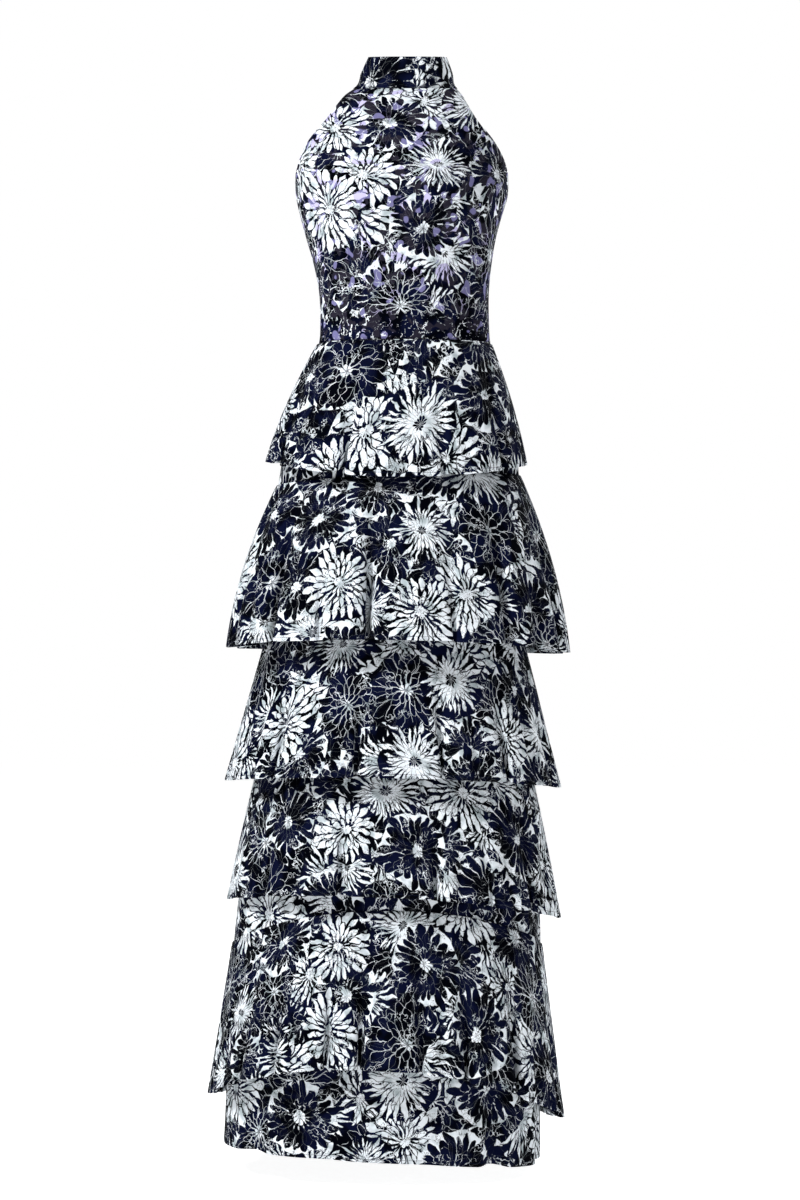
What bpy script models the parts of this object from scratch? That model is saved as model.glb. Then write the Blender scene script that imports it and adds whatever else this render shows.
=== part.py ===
"""Evening gown with a halter bodice, a mock neckband and five flounces, hollow and filled out as when worn.

Metres, +Z up, the front faces -Y. The origin is on the neck's axis, at mid height of the neckband.
The tables are in millimetres and degrees. An angle round the gown is 0 at the centre front, 90 at the
+X side seam, 180 at the centre back and -90 at the -X side seam.
Each piece is a wall of cloth. Its outer face is a function of the angle and of how far down the piece a
point lies, and its inner face is the same face moved in along its normals.
"""

import bisect
import functools
import math
from collections import namedtuple

import bmesh
import bpy
import numpy as np

MM = 0.001

# Driving dimensions, in millimetres.
CLOTH = 1.5
NECKBAND_CLOTH = 2.0
SEAM_GAP = 0.3
NECK_TOP = 18
NECK_SEAM = -26
NECK_TILT = 8
NECK_TILT_ENDS = -115
NECK_DEPTH = 60
UNDERARM = -150
WAIST = -383
SKIRT_HEM = -1500
ZIP_TOP = 14
ZIP_END = -560
ZIP_TAPE_WIDTH = 11
ZIP_TAPE_CLOTH = 1.0
ZIP_MOUTH = 1.6
FACET_ROOM = 0.3
SEAM_ROOM = 0.2
ROUNDNESS = 2.25

# The garment's sections from the neck down. Depths are measured from the neck's axis.
Section = namedtuple("Section", "z half_width front back shift")
SECTIONS = (
    Section(18, 55, 57, 55, 0),
    Section(-4, 64, 60, 58, -1),
    Section(-26, 73, 65, 63, -3),
    Section(-34, 86, 70, 70, -5),
    Section(-48, 104, 77, 79, -7),
    Section(-64, 120, 85, 88, -8),
    Section(-81, 133, 94, 95, -9),
    Section(-98, 142, 103, 99, -9),
    Section(-115, 147, 111, 101, -9),
    Section(-132, 149, 117, 102, -8),
    Section(-150, 149, 122, 101, -8),
    Section(-178, 148, 126, 99, -8),
    Section(-205, 141, 126, 95, -9),
    Section(-235, 133, 120, 90, -9),
    Section(-270, 125, 109, 84, -7),
    Section(-310, 119, 98, 79, -5),
    Section(-350, 118, 93, 77, -4),
    Section(-383, 120, 93, 80, -4),
    Section(-405, 126, 96, 88, -5),
    Section(-440, 138, 102, 102, -7),
    Section(-480, 150, 107, 117, -8),
    Section(-530, 162, 111, 127, -10),
    Section(-584, 169, 115, 131, -12),
    Section(-700, 174, 127, 134, -16),
    Section(-800, 178, 138, 140, -18),
    Section(-900, 184, 146, 148, -18),
    Section(-1000, 193, 153, 156, -19),
    Section(-1100, 205, 160, 164, -23),
    Section(-1200, 214, 167, 172, -27),
    Section(-1300, 217, 171, 176, -30),
    Section(-1400, 220, 174, 180, -33),
    Section(-1500, 222, 177, 183, -35),
)

# How far the halter's front and back reach to each side, down to the underarm.
Armhole = namedtuple("Armhole", "z front back")
ARMHOLES = (
    Armhole(-26, 71, 71),
    Armhole(-34, 80, 79),
    Armhole(-48, 89, 90),
    Armhole(-64, 98, 98),
    Armhole(-81, 109, 109),
    Armhole(-98, 123, 122),
    Armhole(-115, 135, 134),
    Armhole(-132, 143, 143),
    Armhole(-150, 149, 149),
)

# The two bust cups that the front is cut and darted for.
Cup = namedtuple("Cup", "x z wide tall out")
CUPS = [Cup(-66, -192, 50, 48, 8), Cup(66, -192, 50, 48, 8)]

# A height at the front, the +X side, the back and the -X side, joined smoothly all round.
Around = namedtuple("Around", "front plus back minus")
# A valley between two flutes: where it lies, its half span, how far it falls towards the skirt as a share
# of the room there, how far its floor leans to one side, and how much it lifts the hem.
Fold = namedtuple("Fold", "at span depth lean lift")
# The bow is how far the flare runs ahead of a straight line half-way down.
Flounce = namedtuple("Flounce", "name seam hem half_width front back shift bow folds")
FLOUNCES = [
    Flounce(
        "flounce_1",
        Around(-384.5, -384.5, -384.5, -384.5),
        Around(-574, -553, -560, -548),
        184, 146, 162, -16, 0.35,
        [
            Fold(-62, 8, 0.55, 0, 3),
            Fold(-23, 9, 0.85, 3, 12),
            Fold(18, 12, 0.35, 0, 2),
            Fold(53, 8, 0.85, -3, 4),
            Fold(80, 8, 0.5, 0, 2),
            Fold(112, 9, 0.75, 2, 5),
            Fold(146, 10, 0.7, -3, 5),
            Fold(-151, 9, 0.75, 3, 6),
            Fold(-118, 10, 0.65, -2, 4),
            Fold(-88, 8, 0.5, 0, 2),
        ],
    ),
    Flounce(
        "flounce_2",
        Around(-570, -568, -575, -582),
        Around(-796, -816, -815, -808),
        241, 192, 205, -13, 0.6,
        [
            Fold(-72, 7, 0.45, 0, 3),
            Fold(-46, 7, 0.7, -2, 6),
            Fold(-25, 9, 0.25, 0, 0),
            Fold(-7, 7, 0.8, -3, 4),
            Fold(17, 9, 0.25, 0, 0),
            Fold(38, 7, 0.8, 3, 6),
            Fold(70, 9, 0.5, 0, 2),
            Fold(98, 9, 0.7, -2, 5),
            Fold(130, 10, 0.6, 3, 3),
            Fold(158, 8, 0.75, -3, 6),
            Fold(-169, 9, 0.5, 0, 3),
            Fold(-136, 9, 0.75, 3, 6),
            Fold(-103, 9, 0.6, -2, 4),
        ],
    ),
    Flounce(
        "flounce_3",
        Around(-789, -795, -795, -793),
        Around(-982, -1004, -1003, -994),
        236, 191, 205, -20, 0,
        [
            Fold(-70, 8, 0.45, 0, 2),
            Fold(-44, 7, 0.7, -2, 5),
            Fold(-10, 7, 0.8, -3, 3),
            Fold(16, 6, 0.8, -2, 3),
            Fold(41, 7, 0.65, 2, 6),
            Fold(72, 9, 0.55, 0, 3),
            Fold(104, 9, 0.7, 2, 5),
            Fold(137, 9, 0.75, -3, 4),
            Fold(170, 9, 0.6, 2, 3),
            Fold(-155, 8, 0.75, 3, 6),
            Fold(-124, 9, 0.55, -2, 4),
            Fold(-97, 8, 0.7, 0, 3),
        ],
    ),
    Flounce(
        "flounce_4",
        Around(-978, -988, -990, -984),
        Around(-1143, -1186, -1180, -1160),
        234, 196, 206, -19, 0.1,
        [
            Fold(-73, 8, 0.45, 0, 2),
            Fold(-47, 7, 0.7, -2, 5),
            Fold(-15, 7, 0.8, -2, 3),
            Fold(12, 5.5, 0.8, 2, 3),
            Fold(33, 8, 0.35, 0, 0),
            Fold(54, 7, 0.75, 3, 6),
            Fold(80, 8, 0.45, 0, 2),
            Fold(107, 9, 0.7, -2, 4),
            Fold(141, 9, 0.6, 3, 4),
            Fold(173, 8, 0.75, -3, 5),
            Fold(-149, 9, 0.7, 2, 5),
            Fold(-113, 9, 0.65, -3, 3),
        ],
    ),
    Flounce(
        "flounce_5",
        Around(-1163, -1222, -1226, -1221),
        Around(-1374, -1466, -1452, -1432),
        250, 215, 224, -30, 0,
        [
            Fold(-76, 8, 0.5, 0, 2),
            Fold(-53, 6, 0.55, 0, 3),
            Fold(-37, 5, 0.8, 2, 4),
            Fold(-16, 6, 0.6, -2, 3),
            Fold(-6, 4.5, 0.75, -1, 0),
            Fold(9, 4.5, 0.6, 1, 0),
            Fold(24, 5.5, 0.85, 2, 4),
            Fold(46, 6, 0.85, 3, 8),
            Fold(75, 8, 0.5, 0, 3),
            Fold(101, 8, 0.7, -2, 4),
            Fold(129, 8, 0.75, 3, 5),
            Fold(156, 7, 0.6, -2, 3),
            Fold(-178, 8, 0.75, 2, 5),
            Fold(-148, 8, 0.6, -3, 4),
            Fold(-120, 8, 0.75, 3, 5),
            Fold(-98, 7, 0.5, 0, 2),
        ],
    ),
]

# The skirt's own soft folds, which deepen from the knee to its hem. Depths are in millimetres.
SkirtFold = namedtuple("SkirtFold", "at span depth lift")
SKIRT_FOLDS = [
    SkirtFold(-52, 12, 9, 2),
    SkirtFold(-18, 13, 7, 0),
    SkirtFold(14, 12, 6, 0),
    SkirtFold(42, 9, 11, 4),
    SkirtFold(82, 13, 9, 2),
    SkirtFold(121, 14, 12, 3),
    SkirtFold(166, 15, 10, 2),
    SkirtFold(-149, 14, 12, 3),
    SkirtFold(-103, 14, 10, 2),
]
SKIRT_FOLDS_START = -1000
# How far the skirt's hem hangs above its lowest section.
HEM_RISE = Around(-3, -24, -6, 3)

# Mesh stations.
PANEL_STEP = 9
SKIRT_ROWS = [-383.4, -405, -440, -480, -530, -600, -700, -800, -900, -1000, -1100, -1200, -1300, -1400]
FLOUNCE_ROWS = 3
FOLD_STATIONS = (-1, -0.62, -0.3, 0, 0.3, 0.62, 1)
CLOSEST_STATIONS = 1.2

# The zip's slider and pull, in millimetres, in a frame on the outside of the neckband at the centre back:
# across the back, down the zip, and out from the cloth.
SLIDER_WIDTH, SLIDER_LENGTH, SLIDER_PLATE = 6, 9, 0.8
SLIDER_WEB = 0.8
BRIDGE_WIDTH, BRIDGE_LENGTH, BRIDGE_BAR = 2.4, 5, 0.8
PULL_WINDOW = 1.8
PULL_BAR = 1.0
PULL_THICKNESS = 1.0
PULL_WIDTH, PULL_LENGTH = 5.5, 22
PULL_ARM = 1.1

Finish = namedtuple("Finish", "colour roughness metallic")
FINISHES = {
    "printed_cloth": Finish((0.30, 0.33, 0.38, 1), 0.8, 0),
    "zip_tape_cloth": Finish((0.02, 0.02, 0.035, 1), 0.85, 0),
    "zip_metal": Finish((0.03, 0.03, 0.05, 1), 0.4, 1),
}


@functools.cache
def curve_of(table, column):
    """A table's heights from the lowest up, with a column's values and slopes there."""
    heights = [row.z for row in reversed(table)]
    values = [getattr(row, column) for row in reversed(table)]
    return heights, values, [float(slope) for slope in np.gradient(values, heights)]


def smooth_at(value, table, column):
    """A column of a table at any height, through its rows with no kinks."""
    heights, values, slopes = curve_of(table, column)
    i = min(max(bisect.bisect(heights, value) - 1, 0), len(heights) - 2)
    step = heights[i + 1] - heights[i]
    t = (value - heights[i]) / step
    if t < 0 or t > 1:
        end = 0 if t < 0 else -1
        return values[end] + slopes[end] * (value - heights[end])
    before = values[i] * (1 + 2 * t) + slopes[i] * step * t
    after = values[i + 1] * (3 - 2 * t) + slopes[i + 1] * step * (t - 1)
    return before * (1 - t) ** 2 + after * t**2


def turn_between(a, b):
    """The signed angle from b to a, the short way round."""
    return (a - b + 180) % 360 - 180


def oval(angle, half_width, front, back, shift):
    """A point of a rounded oval at an angle from the front."""
    across, along = math.sin(math.radians(angle)), -math.cos(math.radians(angle))
    power = 2 / ROUNDNESS
    depth = back if along > 0 else front
    x = shift + half_width * math.copysign(abs(across) ** power, across)
    return x, depth * math.copysign(abs(along) ** power, along)


def skirt_fold(angle, z):
    """How far the skirt's own folds draw it in at a point, and how much they lift its hem."""
    grown = min(max((SKIRT_FOLDS_START - z) / (SKIRT_FOLDS_START - SKIRT_HEM), 0), 1)
    depth = lift = 0
    for fold in SKIRT_FOLDS:
        t = turn_between(angle, fold.at) / fold.span
        if abs(t) < 1:
            shape = math.cos(t * math.pi / 2) ** 2
            depth += fold.depth * shape * grown
            lift += fold.lift * shape * grown
    return depth, lift


def form(angle, z):
    """The outer face of the bodice, neckband and skirt."""
    half_width, front, back, shift = (
        smooth_at(z, SECTIONS, column) for column in ("half_width", "front", "back", "shift")
    )
    drawn_in, _ = skirt_fold(angle, z)
    x, y = oval(angle, half_width - drawn_in, front - drawn_in, back - drawn_in, shift)
    if y < 0:
        for cup in CUPS:
            near = ((x - shift - cup.x) / cup.wide) ** 2 + ((z - cup.z) / cup.tall) ** 2
            y -= cup.out * math.exp(-near)
    tilt = min(max((z - NECK_TILT_ENDS) / (NECK_SEAM - NECK_TILT_ENDS), 0), 1)
    return np.array([x, y, z + NECK_TILT * tilt * tilt * y / NECK_DEPTH])


def hem_lift(angle):
    """How far the skirt's hem lies above its lowest section at an angle."""
    return skirt_fold(angle, SKIRT_HEM)[1] + around(HEM_RISE, angle)


def armhole_angle(z, side):
    """How far round from the centre of the front or back the halter reaches at a height."""
    if z <= UNDERARM:
        return 90
    share = smooth_at(z, ARMHOLES, side) / smooth_at(z, SECTIONS, "half_width")
    return math.degrees(math.asin(min(share, 1) ** (ROUNDNESS / 2)))


def around(heights, angle):
    """A height that passes smoothly through its four named values."""
    front, plus, back, minus = heights
    turn = math.radians(angle)
    mean, second = (front + plus + back + minus) / 4, (front + back - plus - minus) / 4
    first = (front - back) / 2 * math.cos(turn) + (plus - minus) / 2 * math.sin(turn)
    return mean + first + second * math.cos(2 * turn)


def normals_of(face, angles, downs, points):
    """Outward normals of a face, from short steps across and down it."""
    normals = np.zeros_like(points)
    for i, down in enumerate(downs):
        for j, angle in enumerate(angles[i]):
            across = face(angle + 0.5, down) - face(angle - 0.5, down)
            below = face(angle, min(down + 0.02, 1)) - face(angle, max(down - 0.02, 0))
            normal = np.cross(below, across)
            normals[i, j] = normal / np.linalg.norm(normal)
    return normals


def parted(points):
    """Half a seam's gap that each row is drawn in by at its two ends."""
    moves = np.zeros_like(points)
    for end, beside in ((0, 1), (-1, -2)):
        along = points[:, beside] - points[:, end]
        moves[:, end] = along / np.linalg.norm(along, axis=1)[:, None] * SEAM_GAP / 2
    return moves


def material(name):
    made = bpy.data.materials.get(name)
    if made is None:
        made = bpy.data.materials.new(name)
        made.use_nodes = True
        shader = made.node_tree.nodes["Principled BSDF"]
        shader.inputs["Base Color"].default_value = FINISHES[name].colour
        shader.inputs["Roughness"].default_value = FINISHES[name].roughness
        shader.inputs["Metallic"].default_value = FINISHES[name].metallic
    return made


def add_object(name, mesh, finish):
    mesh.materials.append(material(finish))
    piece = bpy.data.objects.new(name, mesh)
    bpy.context.scene.collection.objects.link(piece)
    return piece


def wall(name, outer, inner, finish="printed_cloth"):
    """A closed wall between two grids of points, which have the same rows and columns."""
    rows, columns = outer.shape[:2]
    mesh = bmesh.new()
    faces = [
        [[mesh.verts.new(point * MM) for point in row] for row in grid] for grid in (outer, inner)
    ]
    out, back = faces
    for i in range(rows - 1):
        for j in range(columns - 1):
            mesh.faces.new((out[i][j], out[i + 1][j], out[i + 1][j + 1], out[i][j + 1]))
            mesh.faces.new((back[i][j], back[i][j + 1], back[i + 1][j + 1], back[i + 1][j]))
    rim = [(0, j) for j in range(columns)]
    rim += [(i, columns - 1) for i in range(1, rows)]
    rim += [(rows - 1, j) for j in range(columns - 2, -1, -1)]
    rim += [(i, 0) for i in range(rows - 2, 0, -1)]
    for (i, j), (k, m) in zip(rim, rim[1:] + rim[:1]):
        mesh.faces.new((out[i][j], out[k][m], back[k][m], back[i][j]))
    data = bpy.data.meshes.new(name)
    mesh.to_mesh(data)
    mesh.free()
    data.shade_smooth()
    data.set_sharp_from_angle(angle=math.radians(50))
    return add_object(name, data, finish)


def panel(name, face, angles, downs, cloth, finish="printed_cloth", inset=0):
    """A piece of cloth cut from a face, with a row of angles for each step down, or from inside that face."""
    points = np.array([[face(angle, down) for angle in row] for row, down in zip(angles, downs)])
    normals = normals_of(face, angles, downs, points)
    outer = points + parted(points) - normals * inset
    return wall(name, outer, outer - normals * cloth, finish)


def spread(start, end, step=PANEL_STEP):
    count = max(round(abs(end - start) / step), 1)
    return [start + (end - start) * i / count for i in range(count + 1)]


def height_face(top, bottom):
    """The form as a face whose second value runs from 0 at the top to 1 at the bottom."""
    return lambda angle, down: form(angle, top + (bottom - top) * down)


def make_neckband():
    face = height_face(NECK_TOP, NECK_SEAM + SEAM_GAP / 2)
    mouth = math.degrees((ZIP_MOUTH - SEAM_GAP) / 2 / NECK_DEPTH)
    angles = spread(-180 + mouth, 180 - mouth)
    downs = [0, 0.5, 1]
    panel("neckband", face, [angles] * len(downs), downs, NECKBAND_CLOTH)


def make_bodice():
    top, bottom = NECK_SEAM - SEAM_GAP / 2, WAIST + SEAM_GAP / 2
    heights = [top] + [row.z for row in SECTIONS if bottom + 5 < row.z < top - 5] + [bottom]
    downs = [(z - top) / (bottom - top) for z in heights]
    face = height_face(top, bottom)
    fronts = [spread(-1, 1, PANEL_STEP / 90) for _ in heights]
    fronts = [[s * armhole_angle(z, "front") for s in row] for z, row in zip(heights, fronts)]
    panel("bodice_front", face, fronts, downs, CLOTH)
    count = round(90 / PANEL_STEP)
    backs = [[180 - armhole_angle(z, "back") * (1 - i / count) for i in range(count + 1)] for z in heights]
    panel("bodice_back_plus", face, backs, downs, CLOTH)
    panel("bodice_back_minus", face, [[-angle for angle in row[::-1]] for row in backs], downs, CLOTH)


def skirt_face(angle, down):
    """The skirt's outer face, straight between its rows, as its flounces' seams lie on it."""
    rows = SKIRT_ROWS + [SKIRT_HEM]
    place = down * (len(rows) - 1)
    i = min(int(place), len(rows) - 2)
    ends = [form(angle, rows[k]) for k in (i, i + 1)]
    if i == len(rows) - 2:
        ends[1][2] += hem_lift(angle)
    return ends[0] + (ends[1] - ends[0]) * (place - i)


def make_skirt():
    count = len(SKIRT_ROWS)
    downs = [i / count for i in range(count + 1)]
    for name, start, end in (
        ("skirt_front", -90, 90),
        ("skirt_back_plus", 90, 180),
        ("skirt_back_minus", -180, -90),
    ):
        panel(name, skirt_face, [spread(start, end)] * len(downs), downs, CLOTH)


def on_skirt(angle, z, off):
    """A point on the skirt's facets, moved out by a distance."""
    first = math.floor(angle / PANEL_STEP) * PANEL_STEP
    share = (angle - first) / PANEL_STEP
    rows = SKIRT_ROWS + [SKIRT_HEM]
    i = min(max(sum(row > z for row in rows) - 1, 0), len(rows) - 2)
    down = (z - rows[i]) / (rows[i + 1] - rows[i])
    corners = [[form(a, rows[k]) for a in (first, first + PANEL_STEP)] for k in (i, i + 1)]
    upper, lower = (a + (b - a) * share for a, b in corners)
    across = (corners[0][1] - corners[0][0]) + (corners[1][1] - corners[1][0])
    out = np.array([across[1], -across[0], 0.0])
    out /= np.linalg.norm(out)
    return upper + (lower - upper) * down + out * off


def flounce_face(flounce):
    """A flounce's outer face: a flare off its seam, folded into valleys towards the skirt."""
    close = CLOTH + SEAM_GAP + SEAM_ROOM

    def face(angle, down):
        share = turn = lift = 0
        for fold in flounce.folds:
            t = turn_between(angle, fold.at) / fold.span
            if abs(t) < 1:
                shape = math.cos(t * math.pi / 2) ** 2
                share = max(share, fold.depth * shape)
                lift += fold.lift * shape
                turn += fold.lean * shape - 0.5 * fold.span * t * math.sin(math.pi * abs(t))
        grown = down**0.8
        turned = angle + turn * grown
        seam, hem = around(flounce.seam, angle), around(flounce.hem, angle) + lift
        z = seam + (hem - seam) * down
        top = on_skirt(angle, seam, close)
        edge = oval(turned, flounce.half_width, flounce.front, flounce.back, flounce.shift)
        flare = down + flounce.bow * down * (1 - down)
        crest = np.array([top[0] + (edge[0] - top[0]) * flare, top[1] + (edge[1] - top[1]) * flare, z])
        floor = on_skirt(turned, z, close + 5 * down)
        return crest + (floor - crest) * share * grown

    return face


def fold_stations(flounce, start, end):
    """The skirt's own stations and closer ones across each valley."""
    found = spread(start, end)
    for fold in flounce.folds:
        for t in FOLD_STATIONS:
            angle = fold.at + t * fold.span
            for turned in (angle, angle + 360, angle - 360):
                near = min(abs(turned - other) for other in found)
                if start < turned < end and near > CLOSEST_STATIONS:
                    found.append(turned)
    return sorted(found)


def make_flounce(flounce):
    downs = [i / FLOUNCE_ROWS for i in range(FLOUNCE_ROWS + 1)]
    pieces = [("front", -90, 90), ("back", 90, 270)]
    if flounce.name == "flounce_1":
        pieces[1:] = [("back_plus", 90, 180), ("back_minus", 180, 270)]
    for place, start, end in pieces:
        angles = fold_stations(flounce, start, end)
        panel(f"{flounce.name}_{place}", flounce_face(flounce), [angles] * len(downs), downs, CLOTH)


def angle_beside_back(z, across):
    """The angle of the point that lies this far across from the centre back."""
    share = across / smooth_at(z, SECTIONS, "half_width")
    return 180 - math.degrees(math.asin(share ** (ROUNDNESS / 2)))


def make_zip_tapes():
    """Two strips inside the centre back, which meet at the zip's teeth."""
    heights = [ZIP_TOP] + [row.z for row in SECTIONS if ZIP_END < row.z < ZIP_TOP] + [ZIP_END]
    downs = [(z - ZIP_TOP) / (ZIP_END - ZIP_TOP) for z in heights]
    face = height_face(ZIP_TOP, ZIP_END)
    edges = [(ZIP_MOUTH - SEAM_GAP) / 2 + ZIP_TAPE_WIDTH * share for share in (1, 0.5, 0)]
    plus = [[angle_beside_back(z, edge) for edge in edges] for z in heights]
    minus = [[-angle for angle in reversed(row)] for row in plus]
    inside = NECKBAND_CLOTH + SEAM_GAP + FACET_ROOM
    for name, angles in (("zip_tape_plus", plus), ("zip_tape_minus", minus)):
        panel(name, face, angles, downs, ZIP_TAPE_CLOTH, "zip_tape_cloth", inside)


def block(mesh, across, down, out):
    """A box between two values on each of the zip's three axes."""
    corners = [(x * MM, y * MM, z * MM) for x in across for y in down for z in out]
    verts = [mesh.verts.new(corner) for corner in corners]
    for loop in ((0, 1, 3, 2), (4, 6, 7, 5), (0, 4, 5, 1), (2, 3, 7, 6), (0, 2, 6, 4), (1, 5, 7, 3)):
        mesh.faces.new([verts[i] for i in loop])


def solid(name, boxes, finish):
    """An object made of boxes, and the object itself is what a Boolean then works on."""
    mesh = bmesh.new()
    for box in boxes:
        block(mesh, *box)
    bmesh.ops.recalc_face_normals(mesh, faces=mesh.faces)
    data = bpy.data.meshes.new(name)
    mesh.to_mesh(data)
    mesh.free()
    return add_object(name, data, finish)


def combine(piece, other, operation):
    """A Boolean with a helper that is hidden and left out of the build."""
    modifier = piece.modifiers.new(other.name, "BOOLEAN")
    modifier.operation = operation
    modifier.solver = "EXACT"
    modifier.object = other
    other.hide_render = True
    other.display_type = "WIRE"
    other.parent = piece.parent


def make_zip_head():
    """The slider, which grips the tapes through the zip's mouth, and the pull linked to its bridge."""
    upper, lower = form(180, ZIP_TOP), form(180, ZIP_TOP - 2 * SLIDER_LENGTH)
    slope = math.atan2(lower[1] - upper[1], upper[2] - lower[2])
    head = bpy.data.objects.new("zip_head", None)
    bpy.context.scene.collection.objects.link(head)
    middle = form(180, ZIP_TOP - SLIDER_LENGTH / 2)
    head.location = middle * MM
    head.rotation_euler = (slope - math.pi / 2, 0, 0)

    half, long = SLIDER_WIDTH / 2, SLIDER_LENGTH / 2
    plate = (SEAM_GAP, SEAM_GAP + SLIDER_PLATE)
    behind = -(NECKBAND_CLOTH + 2 * SEAM_GAP + FACET_ROOM + ZIP_TAPE_CLOTH)
    top = plate[1] + PULL_WINDOW + BRIDGE_BAR
    bridge = (-long + 0.4, -long + 0.4 + BRIDGE_LENGTH)
    window = (bridge[0] + BRIDGE_BAR, bridge[1] - BRIDGE_BAR)
    slider = solid("zip_slider", [((-half, half), (-long, long), plate)], "zip_metal")
    slider.parent = head
    wide = BRIDGE_WIDTH / 2
    helpers = [
        ("zip_bridge", "UNION", ((-wide, wide), bridge, (plate[0] + SLIDER_PLATE / 2, top))),
        ("zip_bridge_window", "DIFFERENCE", ((-half, half), window, (plate[1], top - BRIDGE_BAR))),
        ("zip_web", "UNION", ((-SLIDER_WEB / 2, SLIDER_WEB / 2), (-long + 1, long - 1), (behind - 0.5, 0.6))),
        ("zip_inner_plate", "UNION", ((-half, half), (-long, long), (behind - SLIDER_PLATE, behind))),
    ]
    for name, operation, box in helpers:
        combine(slider, solid(name, [box], "zip_metal"), operation)

    pin_down, pin_out = (window[0] + window[1]) / 2, plate[1] + PULL_WINDOW / 2
    hinge = bpy.data.objects.new("zip_pull_hinge", None)
    bpy.context.scene.collection.objects.link(hinge)
    hinge.parent = head
    hinge.location = (0, pin_down * MM, pin_out * MM)
    arm_inside = PULL_WIDTH / 2 - PULL_ARM
    bar, thick = PULL_BAR / 2, PULL_THICKNESS / 2
    eye = window[1] - pin_down + BRIDGE_BAR + bar
    pull = solid("zip_pull", [((-PULL_WIDTH / 2, PULL_WIDTH / 2), (-bar, PULL_LENGTH), (-thick, thick))], "zip_metal")
    cutter = solid("zip_pull_eye", [((-arm_inside, arm_inside), (bar, bar + eye), (-1, 1))], "zip_metal")
    pull.parent = hinge
    combine(pull, cutter, "DIFFERENCE")


def clear_scene():
    for old in list(bpy.data.objects):
        bpy.data.objects.remove(old, do_unlink=True)


def main():
    clear_scene()
    make_neckband()
    make_bodice()
    make_skirt()
    for flounce in FLOUNCES:
        make_flounce(flounce)
    make_zip_tapes()
    make_zip_head()
    bpy.context.view_layer.update()


main()
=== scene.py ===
"""Looks of the tiered evening gown: printed cloth on its solids' form, its zip, and the studio round it.

Tables are in millimetres and degrees, as in the part's source: an angle round the gown is 0 at the centre
front, 90 at the +X side seam, 180 at the centre back and -90 at the -X side seam. Every piece of cloth is a
grid of points on the gown's form, with rows down the cloth and columns round the gown.
"""

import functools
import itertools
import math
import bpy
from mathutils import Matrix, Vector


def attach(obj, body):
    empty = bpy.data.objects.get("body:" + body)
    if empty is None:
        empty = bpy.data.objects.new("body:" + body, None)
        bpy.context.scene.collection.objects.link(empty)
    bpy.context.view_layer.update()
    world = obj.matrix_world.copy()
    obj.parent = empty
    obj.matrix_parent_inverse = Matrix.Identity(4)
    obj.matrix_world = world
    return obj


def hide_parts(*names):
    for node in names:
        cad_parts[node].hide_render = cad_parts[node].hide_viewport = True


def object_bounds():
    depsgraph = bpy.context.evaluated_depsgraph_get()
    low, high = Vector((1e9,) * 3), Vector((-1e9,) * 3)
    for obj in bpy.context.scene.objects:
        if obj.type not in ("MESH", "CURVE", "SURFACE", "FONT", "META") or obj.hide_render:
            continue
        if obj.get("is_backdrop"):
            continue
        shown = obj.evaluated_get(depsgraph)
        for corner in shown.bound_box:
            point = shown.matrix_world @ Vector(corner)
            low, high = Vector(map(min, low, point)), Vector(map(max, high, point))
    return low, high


bl_info = {
    "name": "Evening Gown",
    "version": (1, 0, 0),
    "blender": (4, 5, 0),
    "location": "3D View > Sidebar > Gown",
    "description": "Builds the cloth, print and zip of a tiered evening gown on its fixed frame",
    "category": "Add Mesh",
}

from collections import namedtuple

import bpy
import numpy as np
from bpy.props import FloatProperty, FloatVectorProperty, PointerProperty

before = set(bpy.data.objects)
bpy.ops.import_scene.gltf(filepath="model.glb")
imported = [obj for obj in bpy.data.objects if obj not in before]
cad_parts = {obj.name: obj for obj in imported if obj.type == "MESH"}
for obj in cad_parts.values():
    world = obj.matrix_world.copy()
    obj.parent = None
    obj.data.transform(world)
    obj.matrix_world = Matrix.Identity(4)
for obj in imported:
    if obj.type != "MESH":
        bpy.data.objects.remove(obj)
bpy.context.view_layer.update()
MM = 0.001

# Driving dimensions of the form, in millimetres.
SEAM_GAP = 0.3
NECK_TOP = 18
NECK_SEAM = -26
NECK_TILT = 8
NECK_TILT_ENDS = -115
NECK_DEPTH = 60
UNDERARM = -150
WAIST = -383
SKIRT_HEM = -1500
ZIP_TOP = 14
ZIP_END = -560
ZIP_TAPE_WIDTH = 11
ZIP_MOUTH = 1.6
SKIRT_TOP = -383.4
ROUNDNESS = 2.25

# The garment's sections from the neck down. Depths are measured from the neck's axis.
Section = namedtuple("Section", "z half_width front back shift")
SECTIONS = (
    Section(18, 55, 57, 55, 0),
    Section(-4, 64, 60, 58, -1),
    Section(-26, 73, 65, 63, -3),
    Section(-34, 86, 70, 70, -5),
    Section(-48, 104, 77, 79, -7),
    Section(-64, 120, 85, 88, -8),
    Section(-81, 133, 94, 95, -9),
    Section(-98, 142, 103, 99, -9),
    Section(-115, 147, 111, 101, -9),
    Section(-132, 149, 117, 102, -8),
    Section(-150, 149, 122, 101, -8),
    Section(-178, 148, 126, 99, -8),
    Section(-205, 141, 126, 95, -9),
    Section(-235, 133, 120, 90, -9),
    Section(-270, 125, 109, 84, -7),
    Section(-310, 119, 98, 79, -5),
    Section(-350, 118, 93, 77, -4),
    Section(-383, 120, 93, 80, -4),
    Section(-405, 126, 96, 88, -5),
    Section(-440, 138, 102, 102, -7),
    Section(-480, 150, 107, 117, -8),
    Section(-530, 162, 111, 127, -10),
    Section(-584, 169, 115, 131, -12),
    Section(-700, 174, 127, 134, -16),
    Section(-800, 178, 138, 140, -18),
    Section(-900, 184, 146, 148, -18),
    Section(-1000, 193, 153, 156, -19),
    Section(-1100, 205, 160, 164, -23),
    Section(-1200, 214, 167, 172, -27),
    Section(-1300, 217, 171, 176, -30),
    Section(-1400, 220, 174, 180, -33),
    Section(-1500, 222, 177, 183, -35),
)

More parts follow.
